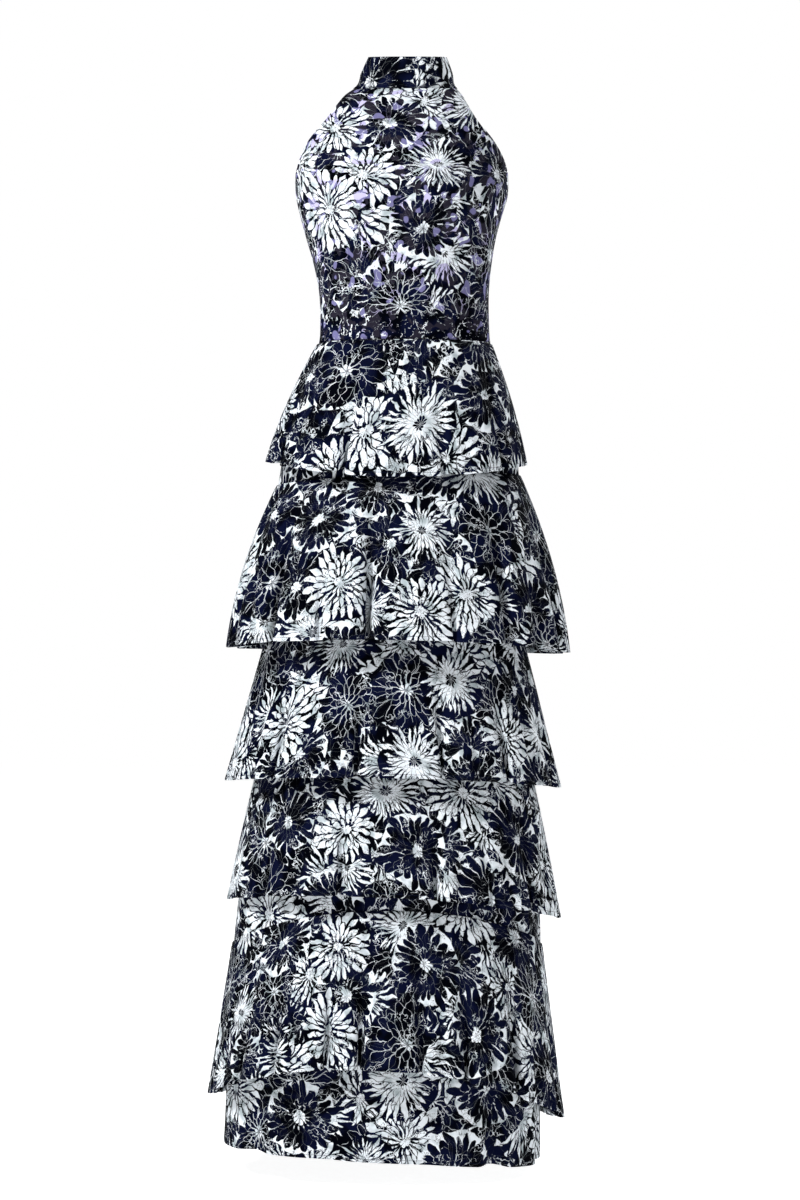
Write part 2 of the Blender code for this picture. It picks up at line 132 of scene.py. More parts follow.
# How far the halter's front and back reach to each side, down to the underarm.
Armhole = namedtuple("Armhole", "z front back")
ARMHOLES = (
    Armhole(-26, 71, 71),
    Armhole(-34, 80, 79),
    Armhole(-48, 89, 90),
    Armhole(-64, 98, 98),
    Armhole(-81, 109, 109),
    Armhole(-98, 123, 122),
    Armhole(-115, 135, 134),
    Armhole(-132, 143, 143),
    Armhole(-150, 149, 149),
)

# The two bust cups that the front is cut and darted for.
Cup = namedtuple("Cup", "x z wide tall out")
CUPS = (Cup(-66, -192, 50, 48, 8), Cup(66, -192, 50, 48, 8))

# A height at the front, the +X side, the back and the -X side, joined smoothly all round.
Around = namedtuple("Around", "front plus back minus")
# A valley between two flutes: where it lies, its half span, how far it falls towards the skirt as a share
# of the room there, how far its floor leans to one side, and how much it lifts the hem.
Fold = namedtuple("Fold", "at span depth lean lift")
# The bow is how far the flare runs ahead of a straight line half-way down.
Flounce = namedtuple("Flounce", "name seam hem half_width front back shift bow folds")
FLOUNCES = (
    Flounce(
        "flounce_1",
        Around(-384.5, -384.5, -384.5, -384.5),
        Around(-574, -553, -560, -548),
        184, 146, 162, -16, 0.35,
        (
            Fold(-62, 8, 0.55, 0, 3), Fold(-23, 9, 0.85, 3, 12), Fold(18, 12, 0.35, 0, 2),
            Fold(53, 8, 0.85, -3, 4), Fold(80, 8, 0.5, 0, 2), Fold(112, 9, 0.75, 2, 5),
            Fold(146, 10, 0.7, -3, 5), Fold(-151, 9, 0.75, 3, 6), Fold(-118, 10, 0.65, -2, 4),
            Fold(-88, 8, 0.5, 0, 2),
        ),
    ),
    Flounce(
        "flounce_2",
        Around(-570, -568, -575, -582),
        Around(-796, -816, -815, -808),
        241, 192, 205, -13, 0.6,
        (
            Fold(-72, 7, 0.45, 0, 3), Fold(-46, 7, 0.7, -2, 6), Fold(-25, 9, 0.25, 0, 0),
            Fold(-7, 7, 0.8, -3, 4), Fold(17, 9, 0.25, 0, 0), Fold(38, 7, 0.8, 3, 6), Fold(70, 9, 0.5, 0, 2),
            Fold(98, 9, 0.7, -2, 5), Fold(130, 10, 0.6, 3, 3), Fold(158, 8, 0.75, -3, 6),
            Fold(-169, 9, 0.5, 0, 3), Fold(-136, 9, 0.75, 3, 6), Fold(-103, 9, 0.6, -2, 4),
        ),
    ),
    Flounce(
        "flounce_3",
        Around(-789, -795, -795, -793),
        Around(-982, -1004, -1003, -994),
        236, 191, 205, -20, 0,
        (
            Fold(-70, 8, 0.45, 0, 2), Fold(-44, 7, 0.7, -2, 5), Fold(-10, 7, 0.8, -3, 3),
            Fold(16, 6, 0.8, -2, 3), Fold(41, 7, 0.65, 2, 6), Fold(72, 9, 0.55, 0, 3), Fold(104, 9, 0.7, 2, 5),
            Fold(137, 9, 0.75, -3, 4), Fold(170, 9, 0.6, 2, 3), Fold(-155, 8, 0.75, 3, 6),
            Fold(-124, 9, 0.55, -2, 4), Fold(-97, 8, 0.7, 0, 3),
        ),
    ),
    Flounce(
        "flounce_4",
        Around(-978, -988, -990, -984),
        Around(-1143, -1186, -1180, -1160),
        234, 196, 206, -19, 0.1,
        (
            Fold(-73, 8, 0.45, 0, 2), Fold(-47, 7, 0.7, -2, 5), Fold(-15, 7, 0.8, -2, 3),
            Fold(12, 5.5, 0.8, 2, 3), Fold(33, 8, 0.35, 0, 0), Fold(54, 7, 0.75, 3, 6), Fold(80, 8, 0.45, 0, 2),
            Fold(107, 9, 0.7, -2, 4), Fold(141, 9, 0.6, 3, 4), Fold(173, 8, 0.75, -3, 5),
            Fold(-149, 9, 0.7, 2, 5), Fold(-113, 9, 0.65, -3, 3),
        ),
    ),
    Flounce(
        "flounce_5",
        Around(-1163, -1222, -1226, -1221),
        Around(-1374, -1466, -1452, -1432),
        250, 215, 224, -30, 0,
        (
            Fold(-76, 8, 0.5, 0, 2), Fold(-53, 6, 0.55, 0, 3), Fold(-37, 5, 0.8, 2, 4),
            Fold(-16, 6, 0.6, -2, 3), Fold(-6, 4.5, 0.75, -1, 0), Fold(9, 4.5, 0.6, 1, 0),
            Fold(24, 5.5, 0.85, 2, 4), Fold(46, 6, 0.85, 3, 8), Fold(75, 8, 0.5, 0, 3),
            Fold(101, 8, 0.7, -2, 4), Fold(129, 8, 0.75, 3, 5), Fold(156, 7, 0.6, -2, 3),
            Fold(-178, 8, 0.75, 2, 5), Fold(-148, 8, 0.6, -3, 4), Fold(-120, 8, 0.75, 3, 5),
            Fold(-98, 7, 0.5, 0, 2),
        ),
    ),
)

# The skirt's own soft folds, which deepen from the knee to its hem. Depths are in millimetres.
SkirtFold = namedtuple("SkirtFold", "at span depth lift")
SKIRT_FOLDS = (
    SkirtFold(-52, 12, 9, 2), SkirtFold(-18, 13, 7, 0), SkirtFold(14, 12, 6, 0), SkirtFold(42, 9, 11, 4),
    SkirtFold(82, 13, 9, 2), SkirtFold(121, 14, 12, 3), SkirtFold(166, 15, 10, 2), SkirtFold(-149, 14, 12, 3),
    SkirtFold(-103, 14, 10, 2),
)
SKIRT_FOLDS_START = -1000
# How far the skirt's hem hangs above its lowest section.
HEM_RISE = Around(-3, -24, -6, 3)

# Creases of the close-fitting cloth: a soft trough, or a ridge where its depth is negative, with its middle's
# angle and height, its length, half width, depth and slant from the vertical.
Crease = namedtuple("Crease", "at z long wide depth slant")
BODICE_CREASES = (
    Crease(-58, -150, 62, 7, 1.5, -52), Crease(-47, -137, 48, 5, 0.9, -44), Crease(-74, -186, 40, 6, 1.1, -78),
    Crease(60, -156, 70, 8, 1.6, 50), Crease(46, -128, 52, 5, 0.8, 38), Crease(77, -198, 46, 7, 1.2, 74),
    Crease(-12, -196, 84, 10, 1.2, 8), Crease(9, -214, 66, 8, -0.8, -6), Crease(-38, -282, 72, 8, 1.3, 22),
    Crease(-62, -318, 64, 7, 1.2, -64), Crease(-21, -330, 50, 6, 0.9, -12), Crease(33, -300, 80, 8, 1.4, -20),
    Crease(58, -338, 58, 7, 1.2, 66), Crease(18, -348, 42, 6, 0.9, 18), Crease(-30, -62, 46, 6, 0.9, -34),
    Crease(34, -70, 50, 6, 0.9, 36), Crease(5, -58, 30, 7, 0.7, 4), Crease(118, -230, 80, 8, 1.3, 58),
    Crease(104, -300, 62, 7, 1.2, -70), Crease(146, -316, 70, 8, 1.4, -28), Crease(160, -120, 54, 7, 0.9, 20),
    Crease(-122, -224, 76, 8, 1.3, -60), Crease(-101, -292, 58, 7, 1.1, 72), Crease(-150, -326, 66, 8, 1.3, 24),
    Crease(-158, -132, 60, 7, 0.9, -18),
)
SKIRT_CREASES = (
    Crease(-66, -590, 70, 9, 1.6, -24), Crease(-28, -566, 48, 8, 1.2, 14), Crease(-44, -1120, 120, 12, 2.2, -8),
    Crease(-8, -1180, 150, 14, 2.0, 6), Crease(30, -1150, 120, 12, 2.2, -7),
    Crease(-30, -1430, 130, 10, 2.6, 4), Crease(-66, -1440, 110, 9, 2.4, -5), Crease(2, -1450, 96, 9, -2.2, 3),
    Crease(27, -1436, 120, 10, 2.6, -4), Crease(60, -1450, 110, 9, 2.8, 5), Crease(98, -1430, 140, 11, 2.6, -4),
    Crease(140, -1440, 120, 11, 2.8, 5), Crease(-170, -1436, 130, 12, 2.6, 3),
    Crease(-128, -1430, 140, 11, 2.6, -5), Crease(-86, -1446, 110, 10, 2.4, 4),
)

# Small creases of the flounces, between their flutes. Top and foot are shares of the drop, the span is half
# the width in degrees, and a crease whose depth is negative is a ridge.
Ripple = namedtuple("Ripple", "at span top foot depth slant")
RIPPLES = (
    (
        Ripple(-74, 4, 0.3, 1.3, 4, 2), Ripple(-50, 5, 0.1, 1.2, 4, -3), Ripple(-40, 4, 0.5, 1.4, -3, 2),
        Ripple(-8, 5, 0.2, 1.3, 5, 2), Ripple(3, 4, 0.5, 1.4, 4, -2), Ripple(30, 5, 0.3, 1.3, 4, 3),
        Ripple(40, 4, 0.1, 0.9, 3, -2), Ripple(66, 4, 0.4, 1.4, 4, 1), Ripple(97, 5, 0.3, 1.4, 5, -2),
        Ripple(129, 5, 0.2, 1.3, 5, 3), Ripple(164, 6, 0.3, 1.4, 5, -3), Ripple(-168, 5, 0.4, 1.4, 4, 2),
        Ripple(-135, 5, 0.2, 1.3, 5, -2), Ripple(-104, 5, 0.3, 1.4, 4, 3),
    ),
    (
        Ripple(-84, 4, 0.3, 1.3, 5, -2), Ripple(-60, 4, 0.2, 1.3, 4, 2), Ripple(-34, 4, 0.3, 1.4, 5, -2),
        Ripple(-17, 4, 0.1, 1.2, 5, 3), Ripple(5, 4, 0.4, 1.4, -4, -2), Ripple(26, 4, 0.2, 1.3, 5, 2),
        Ripple(52, 4, 0.3, 1.4, 6, -3), Ripple(61, 3, 0.5, 1.5, -4, 1), Ripple(84, 5, 0.2, 1.3, 5, 2),
        Ripple(114, 5, 0.3, 1.4, 6, -3), Ripple(145, 4, 0.2, 1.3, 5, 2), Ripple(174, 5, 0.4, 1.4, 6, -2),
        Ripple(-152, 5, 0.3, 1.3, 5, 3), Ripple(-119, 5, 0.2, 1.4, 5, -2),
    ),
    (
        Ripple(-83, 4, 0.3, 1.3, 5, 2), Ripple(-57, 4, 0.2, 1.3, 5, -2), Ripple(-30, 5, 0.3, 1.4, 6, 3),
        Ripple(-20, 3, 0.5, 1.4, -4, -1), Ripple(3, 4, 0.2, 1.3, 5, 2), Ripple(28, 4, 0.3, 1.4, 5, -3),
        Ripple(56, 4, 0.2, 1.3, 6, 2), Ripple(87, 5, 0.3, 1.4, 5, -2), Ripple(121, 5, 0.2, 1.3, 5, 3),
        Ripple(153, 5, 0.3, 1.4, 6, -2), Ripple(-172, 5, 0.2, 1.3, 5, 2), Ripple(-140, 4, 0.3, 1.4, 5, -3),
        Ripple(-110, 4, 0.4, 1.4, 5, 2),
    ),
    (
        Ripple(-86, 4, 0.3, 1.3, 4, -2), Ripple(-60, 4, 0.3, 1.3, 5, 2), Ripple(-33, 5, 0.2, 1.4, 6, -2),
        Ripple(-24, 3, 0.5, 1.5, -4, 1), Ripple(-2, 4, 0.3, 1.3, 5, 2), Ripple(22, 4, 0.3, 1.4, 5, -2),
        Ripple(43, 4, 0.2, 1.3, 5, 3), Ripple(67, 4, 0.3, 1.4, 5, -2), Ripple(93, 5, 0.2, 1.3, 5, 2),
        Ripple(124, 5, 0.3, 1.4, 6, -3), Ripple(157, 5, 0.2, 1.3, 5, 2), Ripple(-168, 5, 0.3, 1.4, 5, -2),
        Ripple(-131, 5, 0.3, 1.4, 5, 3), Ripple(-97, 4, 0.3, 1.3, 4, -2),
    ),
    (
        Ripple(-86, 4, 0.3, 1.3, 5, 2), Ripple(-64, 4, 0.2, 1.3, 5, -2), Ripple(-45, 3, 0.4, 1.4, 5, 1),
        Ripple(-27, 3, 0.3, 1.4, 6, -2), Ripple(1, 3, 0.4, 1.4, -4, 1), Ripple(16, 3, 0.3, 1.3, 5, 1),
        Ripple(35, 4, 0.2, 1.4, 7, 2), Ripple(57, 4, 0.3, 1.4, 6, -3), Ripple(66, 3, 0.5, 1.5, -5, 1),
        Ripple(88, 4, 0.3, 1.4, 6, 2), Ripple(115, 4, 0.2, 1.3, 6, -2), Ripple(143, 4, 0.3, 1.4, 6, 3),
        Ripple(169, 4, 0.2, 1.4, 5, -2), Ripple(-163, 4, 0.3, 1.4, 6, 2), Ripple(-134, 4, 0.3, 1.3, 5, -3),
        Ripple(-109, 4, 0.4, 1.4, 5, 2),
    ),
)

# Steps of the cloth's grids: rows in millimetres, columns in millimetres, in degrees or counted.
FLOUNCE_ROW = 7
FLOUNCE_COLUMN = 2.6
NECKBAND_ROW = 3.5
NECKBAND_COLUMN_DEGREES = 2
BODICE_ROW = 4.5
BODICE_FRONT_COLUMNS = 131
BODICE_BACK_COLUMNS = 67
SKIRT_ROW = 11
SKIRT_HEM_ROW = 6
SKIRT_COLUMN_DEGREES = 1.1
TAPE_ROW = 8
TAPE_COLUMNS = 7

# Small forms of the cloth and the zip, in millimetres.
HEM_BEND = 0.85
HEM_BEND_STEPS = 4
SEAM_ALLOWANCE = 7
NECKBAND_BEND = 0.8
NECKBAND_BEND_STEPS = 6
CLEAR_OF_SKIRT = 2.2
CLEARER_AT_HEM = 5
PUCKER_DEPTH = 0.45
PUCKER_LENGTH = 20
# Each wave of the puckers: how many there are round the gown, where it starts and how tall it is.
PUCKER_WAVES = ((37, 0, 1), (53, 40, 0.7), (91, 110, 0.5))
TAPE_INSET = 2.7
TOOTH_PITCH = 1.2
TOOTH_THICK = 0.9
TOOTH_ROOT = -0.35
TOOTH_REACH = 1.7
TOOTH_HALF_SHARE = 0.32
# How a flounce's folds grow from its seam to its hem, how steep their sides are, how much deeper they are than
# in the solids, how near the skirt and how far out they may reach, and the room that a whole ripple takes.
FOLD_GROWTH = 0.8
FOLD_STEEP = 0.85
FOLD_DEEPER = 1.12
FOLD_LIMITS = (-0.3, 0.96)
RIPPLE_ROOM = 25
BOX_LOOPS = ((0, 1, 3, 2), (4, 6, 7, 5), (0, 4, 5, 1), (2, 3, 7, 6), (0, 2, 6, 4), (1, 5, 7, 3))

# Where each close piece was cut from the printed cloth, in millimetres. It has no stitched hem.
CUT_FROM = {
    "neckband": (2300, 900), "bodice_front": (300, 1180), "bodice_back_plus": (600, 40),
    "bodice_back_minus": (1100, 300), "zip_tape_plus": (0, 0), "zip_tape_minus": (0, 0),
}
NO_HEM = 1000

# The camera stands level, straight in front, and its frame is this tall at the gown's middle plane.
CAMERA_PLACE = (-0.0105, -5.0, -0.742)
FRAME_TALL = 1.68
SENSOR = 36
FLOOR_SIZE = 24
FLOOR_GLOW = 0.93
# Each soft light, with its power as a share of the key light's.
Lamp = namedtuple("Lamp", "name place turn size share")
LAMPS = (
    Lamp("key", (-2.3, -2.1, 1.9), (50, 0, -47), 0.8, 1),
    Lamp("front", (1.6, -3.8, 0.2), (77, 0, 22), 2.0, 0.08),
    Lamp("back", (2.4, 2.6, 1.6), (55, 0, 137), 1.2, 0.8),
)


def linear(code):
    """An sRGB hex colour as a linear RGBA."""
    parts = [int(code[i : i + 2], 16) / 255 for i in (1, 3, 5)]
    return tuple(p / 12.92 if p <= 0.04045 else ((p + 0.055) / 1.055) ** 2.4 for p in parts) + (1.0,)


# The form, as in the part's source, for arrays of angles and heights.


@functools.cache
def curve_of(table, column):
    """A table's heights from the lowest up, with a column's values and slopes there."""
    heights = np.array([row.z for row in reversed(table)], float)
    values = np.array([getattr(row, column) for row in reversed(table)], float)
    return heights, values, np.gradient(values, heights)


def smooth_at(z, table, column):
    """A column of a table at any heights, through its rows with no kinks."""
    heights, values, slopes = curve_of(table, column)
    z = np.asarray(z, float)
    i = np.clip(np.searchsorted(heights, z, "right") - 1, 0, len(heights) - 2)
    step = heights[i + 1] - heights[i]
    place = (z - heights[i]) / step
    t = np.clip(place, 0, 1)
    before = values[i] * (1 + 2 * t) + slopes[i] * step * t
    after = values[i + 1] * (3 - 2 * t) + slopes[i + 1] * step * (t - 1)
    beyond = slopes[np.where(place < 0, 0, -1)] * (place - t) * step
    return before * (1 - t) ** 2 + after * t**2 + beyond


def turn_between(a, b):
    """The signed angle from b to a, the short way round."""
    return (a - b + 180) % 360 - 180


def oval(angle, half_width, front, back, shift):
    """Points of a rounded oval at angles from the front."""
    across, along = np.sin(np.radians(angle)), -np.cos(np.radians(angle))
    power = 2 / ROUNDNESS
    depth = np.where(along > 0, back, front)
    x = shift + half_width * np.sign(across) * np.abs(across) ** power
    return x, depth * np.sign(along) * np.abs(along) ** power


def hump(t):
    """A smooth bump that is 1 at the middle and 0 from -1 and 1 outwards."""
    return np.cos(np.clip(t, -1, 1) * np.pi / 2) ** 2


def skirt_fold(angle, z):
    """How far the skirt's own folds draw it in, and how much they lift its hem."""
    grown = np.clip((SKIRT_FOLDS_START - z) / (SKIRT_FOLDS_START - SKIRT_HEM), 0, 1)
    depth = lift = 0
    for fold in SKIRT_FOLDS:
        shape = hump(turn_between(angle, fold.at) / fold.span) * grown
        depth = depth + fold.depth * shape
        lift = lift + fold.lift * shape
    return depth, lift


def form(angle, z):
    """The outer face of the bodice, neckband and skirt."""
    half_width, front, back, shift = (
        smooth_at(z, SECTIONS, column) for column in ("half_width", "front", "back", "shift")
    )
    drawn_in, _ = skirt_fold(angle, z)
    x, y = oval(angle, half_width - drawn_in, front - drawn_in, back - drawn_in, shift)
    for cup in CUPS:
        near = ((x - shift - cup.x) / cup.wide) ** 2 + ((z - cup.z) / cup.tall) ** 2
        y = y - np.where(y < 0, cup.out * np.exp(-near), 0)
    tilt = np.clip((z - NECK_TILT_ENDS) / (NECK_SEAM - NECK_TILT_ENDS), 0, 1)
    return np.stack([x, y, z + NECK_TILT * tilt**2 * y / NECK_DEPTH], -1)


def around(heights, angle):
    """A height that passes smoothly through its four named values."""
    front, plus, back, minus = heights
    turn = np.radians(angle)
    mean, second = (front + plus + back + minus) / 4, (front + back - plus - minus) / 4
    first = (front - back) / 2 * np.cos(turn) + (plus - minus) / 2 * np.sin(turn)
    return mean + first + second * np.cos(2 * turn)


def armhole_angle(z, side):
    """How far round from the centre of the front or back the halter reaches at heights."""
    share = smooth_at(z, ARMHOLES, side) / smooth_at(z, SECTIONS, "half_width")
    reach = np.degrees(np.arcsin(np.clip(share, 0, 1) ** (ROUNDNESS / 2)))
    return np.where(np.asarray(z) <= UNDERARM, 90, reach)


# Grids of points.


def unit(vectors):
    return vectors / np.maximum(np.linalg.norm(vectors, axis=-1, keepdims=True), 1e-9)


def normals_of(points):
    """Outward normals of a grid whose rows run down and whose columns run round the gown."""
    return unit(np.cross(np.gradient(points, axis=0), np.gradient(points, axis=1)))


def lengths_along(points, axis):
    """The distance walked along a grid from its first row or column."""
    steps = np.linalg.norm(np.diff(points, axis=axis), axis=-1)
    start = np.zeros_like(np.take(steps, [0], axis=axis))
    return np.concatenate([start, np.cumsum(steps, axis=axis)], axis=axis)


def cut_of(points, offset, fans=False):
    """Where each point lies on the flat cloth it was cut from, with its distance from the lower edge."""
    round_, down = lengths_along(points, 1), lengths_along(points, 0)
    down = np.broadcast_to(down.mean(axis=1, keepdims=True), down.shape)
    half = round_ - round_[:, -1:] / 2
    top, foot, drop = round_[0, -1], round_[-1, -1], down[-1, 0]
    if fans:
        inner = top * drop / max(foot - top, 1e-6)
        turn = (round_ / round_[:, -1:] - 0.5) * top / inner
        x, y = (inner + down) * np.sin(turn), inner - (inner + down) * np.cos(turn)
    else:
        x, y = half, -down
    return np.stack([x + offset[0], y + offset[1], drop - down], -1)


def turned(points, cut, normals, axis, end, depth):
    """The grid with one edge carried round a small bend and back inside, as a hem or a seam's allowance."""
    points, cut, normals = (np.moveaxis(grid, axis, 0) for grid in (points, cut, normals))
    if end == 0:
        points, cut, normals = points[::-1], cut[::-1], normals[::-1]
    back, inward, onward = unit(points[-2] - points[-1]), -normals[-1], unit(cut[-1] - cut[-2])
    turns = [math.pi * i / HEM_BEND_STEPS for i in range(HEM_BEND_STEPS + 1)]
    route = [(HEM_BEND * (1 - math.sin(t)), HEM_BEND * (1 - math.cos(t)), HEM_BEND * t) for t in turns]
    run = math.pi * HEM_BEND
    route += [(depth * share, 2 * HEM_BEND, run + depth * share) for share in (0.4, 1)]
    bent = np.array([points[-1] + back * up + inward * inside for up, inside, _ in route])
    places = np.array([cut[-1] + onward * walked for _, _, walked in route])
    points = np.concatenate([points[:-1], bent])
    cut = np.concatenate([cut[:-1], places])
    normals = np.concatenate([normals[:-1], np.repeat(normals[-1:], len(route), axis=0)])
    if end == 0:
        points, cut, normals = points[::-1], cut[::-1], normals[::-1]
    return tuple(np.moveaxis(grid, 0, axis) for grid in (points, cut, normals))


def parted(points):
    """The grid with its two end columns drawn in by half a seam's gap."""
    points = points.copy()
    for end, beside in ((0, 1), (-1, -2)):
        points[:, end] += unit(points[:, beside] - points[:, end]) * SEAM_GAP / 2
    return points


def creased(points, angle, z, creases):
    """The grid pressed in along its normals by creases of the close-fitting cloth."""
    depth = 0
    for crease in creases:
        radius = smooth_at(crease.z, SECTIONS, "half_width")
        across = np.radians(turn_between(angle, crease.at)) * radius
        slant = math.radians(crease.slant)
        along = (z - crease.z) * math.cos(slant) + across * math.sin(slant)
        beside = across * math.cos(slant) - (z - crease.z) * math.sin(slant)
        depth = depth + crease.depth * np.exp(-((beside / crease.wide) ** 2)) * hump(2 * along / crease.long)
    return points - normals_of(points) * np.asarray(depth)[..., None]


def steps_between(start, end, step):
    return np.linspace(start, end, max(round(abs(end - start) / step), 1) + 1)


def area_of(grid):
    """The area of a flat or curved grid, from the diagonals of its cells."""
    one, other = grid[1:, 1:] - grid[:-1, :-1], grid[1:, :-1] - grid[:-1, 1:]
    return np.linalg.norm(np.cross(one, other), axis=-1).sum() / 2


def placed(name, data):
    """A new object of the scene."""
    made = bpy.data.objects.new(name, data)
    bpy.context.scene.collection.objects.link(made)
    return made


def bevelled(piece, name, width, segments):
    """The piece with its edges rounded by a width in millimetres."""
    bevel = piece.modifiers.new(name, "BEVEL")
    bevel.width = width * MM
    bevel.segments = segments


def sheet_of(name, points, cut, gown, finish):
    """A thin sheet of cloth on a grid of points in millimetres, which stands for the solid of that name."""
    rows, columns = points.shape[:2]
    index = np.arange(rows * columns).reshape(rows, columns)
    corners = (index[:-1, :-1], index[1:, :-1], index[1:, 1:], index[:-1, 1:])
    faces = np.stack([corner.ravel() for corner in corners], -1)
    mesh = bpy.data.meshes.new(name)
    mesh.from_pydata((points.reshape(-1, 3) * MM).tolist(), [], faces.tolist())
    mesh.shade_smooth()
    places = mesh.attributes.new("cut", "FLOAT_VECTOR", "POINT")
    places.data.foreach_set("vector", (cut.reshape(-1, 3) * MM).astype(np.float32).ravel())
    mesh.materials.append(finish)
    piece = placed(f"{name}_cloth", mesh)
    solidify = piece.modifiers.new("thickness of the cloth", "SOLIDIFY")
    solidify.thickness = gown.cloth_thickness
    solidify.offset = -1
    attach(piece, "gown")
    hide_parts(name)
    return piece


def declare(cut):
    """Works out the cloth's flat size and area from the cut of its outer face, and then drops them."""
    flat = cut[..., :2] * MM
    width, length = np.ptp(flat[..., 0]), np.ptp(flat[..., 1])
    area = area_of(np.concatenate([flat, np.zeros_like(flat[..., :1])], -1))
    size = (round(float(width), 4), round(float(length), 4))
    area = round(min(float(area), size[0] * size[1]), 5)


# Materials.


def add_node(tree, kind, *values, named=None, **settings):
    """Adds a node with its settings and links, and gives its first output. A Math operation may be the kind."""
    if not kind.startswith(("ShaderNode", "NodeGroup")):
        settings["operation"] = kind
        kind = "ShaderNodeMath"
    node = tree.nodes.new(kind)
    for setting, value in settings.items():
        setattr(node, setting, value)
    for socket, value in [*enumerate(values), *(named or {}).items()]:
        if isinstance(value, bpy.types.NodeSocket):
            tree.links.new(value, node.inputs[socket])
        else:
            node.inputs[socket].default_value = value
    return node.outputs[0] if node.outputs else node


def new_group(name, inputs, outputs):
    """An empty node group with number sockets, its adder and its input sockets by name."""
    tree = bpy.data.node_groups.new(name, "ShaderNodeTree")
    for names, direction in ((inputs, "INPUT"), (outputs, "OUTPUT")):
        for socket in names:
            kind = "NodeSocketVector" if socket == "Place" else "NodeSocketFloat"
            tree.interface.new_socket(socket, in_out=direction, socket_type=kind)
    add = functools.partial(add_node, tree)
    entry = add("NodeGroupInput").node
    return tree, add, {socket: entry.outputs[socket] for socket in inputs}


def new_material(name):
    """An empty material and the adder of its nodes."""
    made = bpy.data.materials.new(name)
    made.use_nodes = True
    made.node_tree.nodes.clear()
    return made, functools.partial(add_node, made.node_tree)


def coated(add, colour, *coats):
    """A colour with others laid over it, each where its mask says."""
    for mask, over in coats:
        colour = add("ShaderNodeMix", data_type="RGBA", named={0: mask, 6: colour, 7: over}).node.outputs[2]
    return colour


# How short a petal may be as a share of its row's reach, how far the lengths vary, how near its tip it is
# widest and how far it leans.
PETAL_SHORTEST = 0.72
PETAL_VARIES = 0.34
PETAL_SHOULDER = 1.45
PETAL_LEAN = 0.24


def petal_row():
    """One row of petals round a bloom's centre, each a paddle with a rounded end: how far inside its petal a
    point lies."""
    inputs = ["Radius", "Turn", "Reach", "Petals", "Fat", "Blunt", "Seed"]
    tree, add, given = new_group("petal row", inputs, ["Edge"])
    petals, radius = given["Petals"], given["Radius"]
    place = add("MULTIPLY", add("ADD", given["Turn"], given["Seed"]), petals)
    number = add("FLOORED_MODULO", add("FLOOR", place), petals)
    petal = add("ShaderNodeCombineXYZ", number, given["Seed"])
    dice = add("ShaderNodeTexWhiteNoise", petal, noise_dimensions="2D")
    reach = add("MULTIPLY", given["Reach"], add("MULTIPLY_ADD", dice, PETAL_VARIES, PETAL_SHORTEST))
    share = add("MINIMUM", add("DIVIDE", radius, reach), 1)
    cell = add("DIVIDE", math.pi, petals)
    leaf = add("SINE", add("MULTIPLY", add("POWER", share, PETAL_SHOULDER), math.pi))
    leaf = add("POWER", leaf, given["Blunt"])
    half = add("MULTIPLY", add("MULTIPLY", leaf, given["Fat"]), add("MULTIPLY", reach, cell))
    half = add("MINIMUM", half, add("MULTIPLY", radius, cell))
    lean = add("MULTIPLY_ADD", dice, PETAL_LEAN, -PETAL_LEAN / 2)
    beside = add("SUBTRACT", add("FRACT", place), add("MULTIPLY_ADD", lean, share, 0.5))
    beside = add("MULTIPLY", add("ABSOLUTE", beside), add("MULTIPLY", radius, add("MULTIPLY", cell, 2)))
    add("NodeGroupOutput", add("SUBTRACT", half, beside))
    return tree


# The shares of the blooms that are white, white and jagged, or drawn in line on a dark ground.
WHITE_SHARE = 0.5
JAGGED_SHARE = 0.26
DRAWN_SHARE = 0.16
# As shares of the scatter's spacing: a bloom's reach, how far it varies, how far blooms may lie over each other
# and how far they stray from even rows.
BLOOM_REACH = 0.46
BLOOM_VARIES = 0.1
BLOOM_OVERLAP = 1.15
BLOOM_STRAY = 0.45
# The petals in a full row, and how many more or fewer a bloom has by chance and by its kind.
PETALS = 21
PETALS_DIFFER = 5
# How much of its room a petal fills, and how blunt its tip is, in a round bloom and in a jagged one.
ROUND_FAT, JAGGED_FAT = 0.92, 0.66
ROUND_BLUNT, JAGGED_BLUNT = 0.42, 0.67
# A bloom's rows of petals from the outermost in: their reach, their number as a share and their turn. The last
# is the small star at its middle, in the other ink. Between petals the ground shows out to its share.
PETAL_ROWS = ((1, 1, 0), (0.7, 0.82, 0.37), (0.42, 0.62, 0.71), (0.16, 0.4, 0.13))
STAR_COUNT = 0.5
GROUND_SHARE = 0.86
# A jagged bloom's lines thin out to nothing from half-way out to its middle.
LINES_THIN = (0.15, 0.5, -1, -0.1)
# The inks' soft edges, in metres either side of where the shape or the line ends.
PETAL_EDGE = (-0.0001, 0.0003)
LINE_EDGE = (-0.0002, 0.0003)
GROUND_EDGE = (-0.0003, 0.0003)


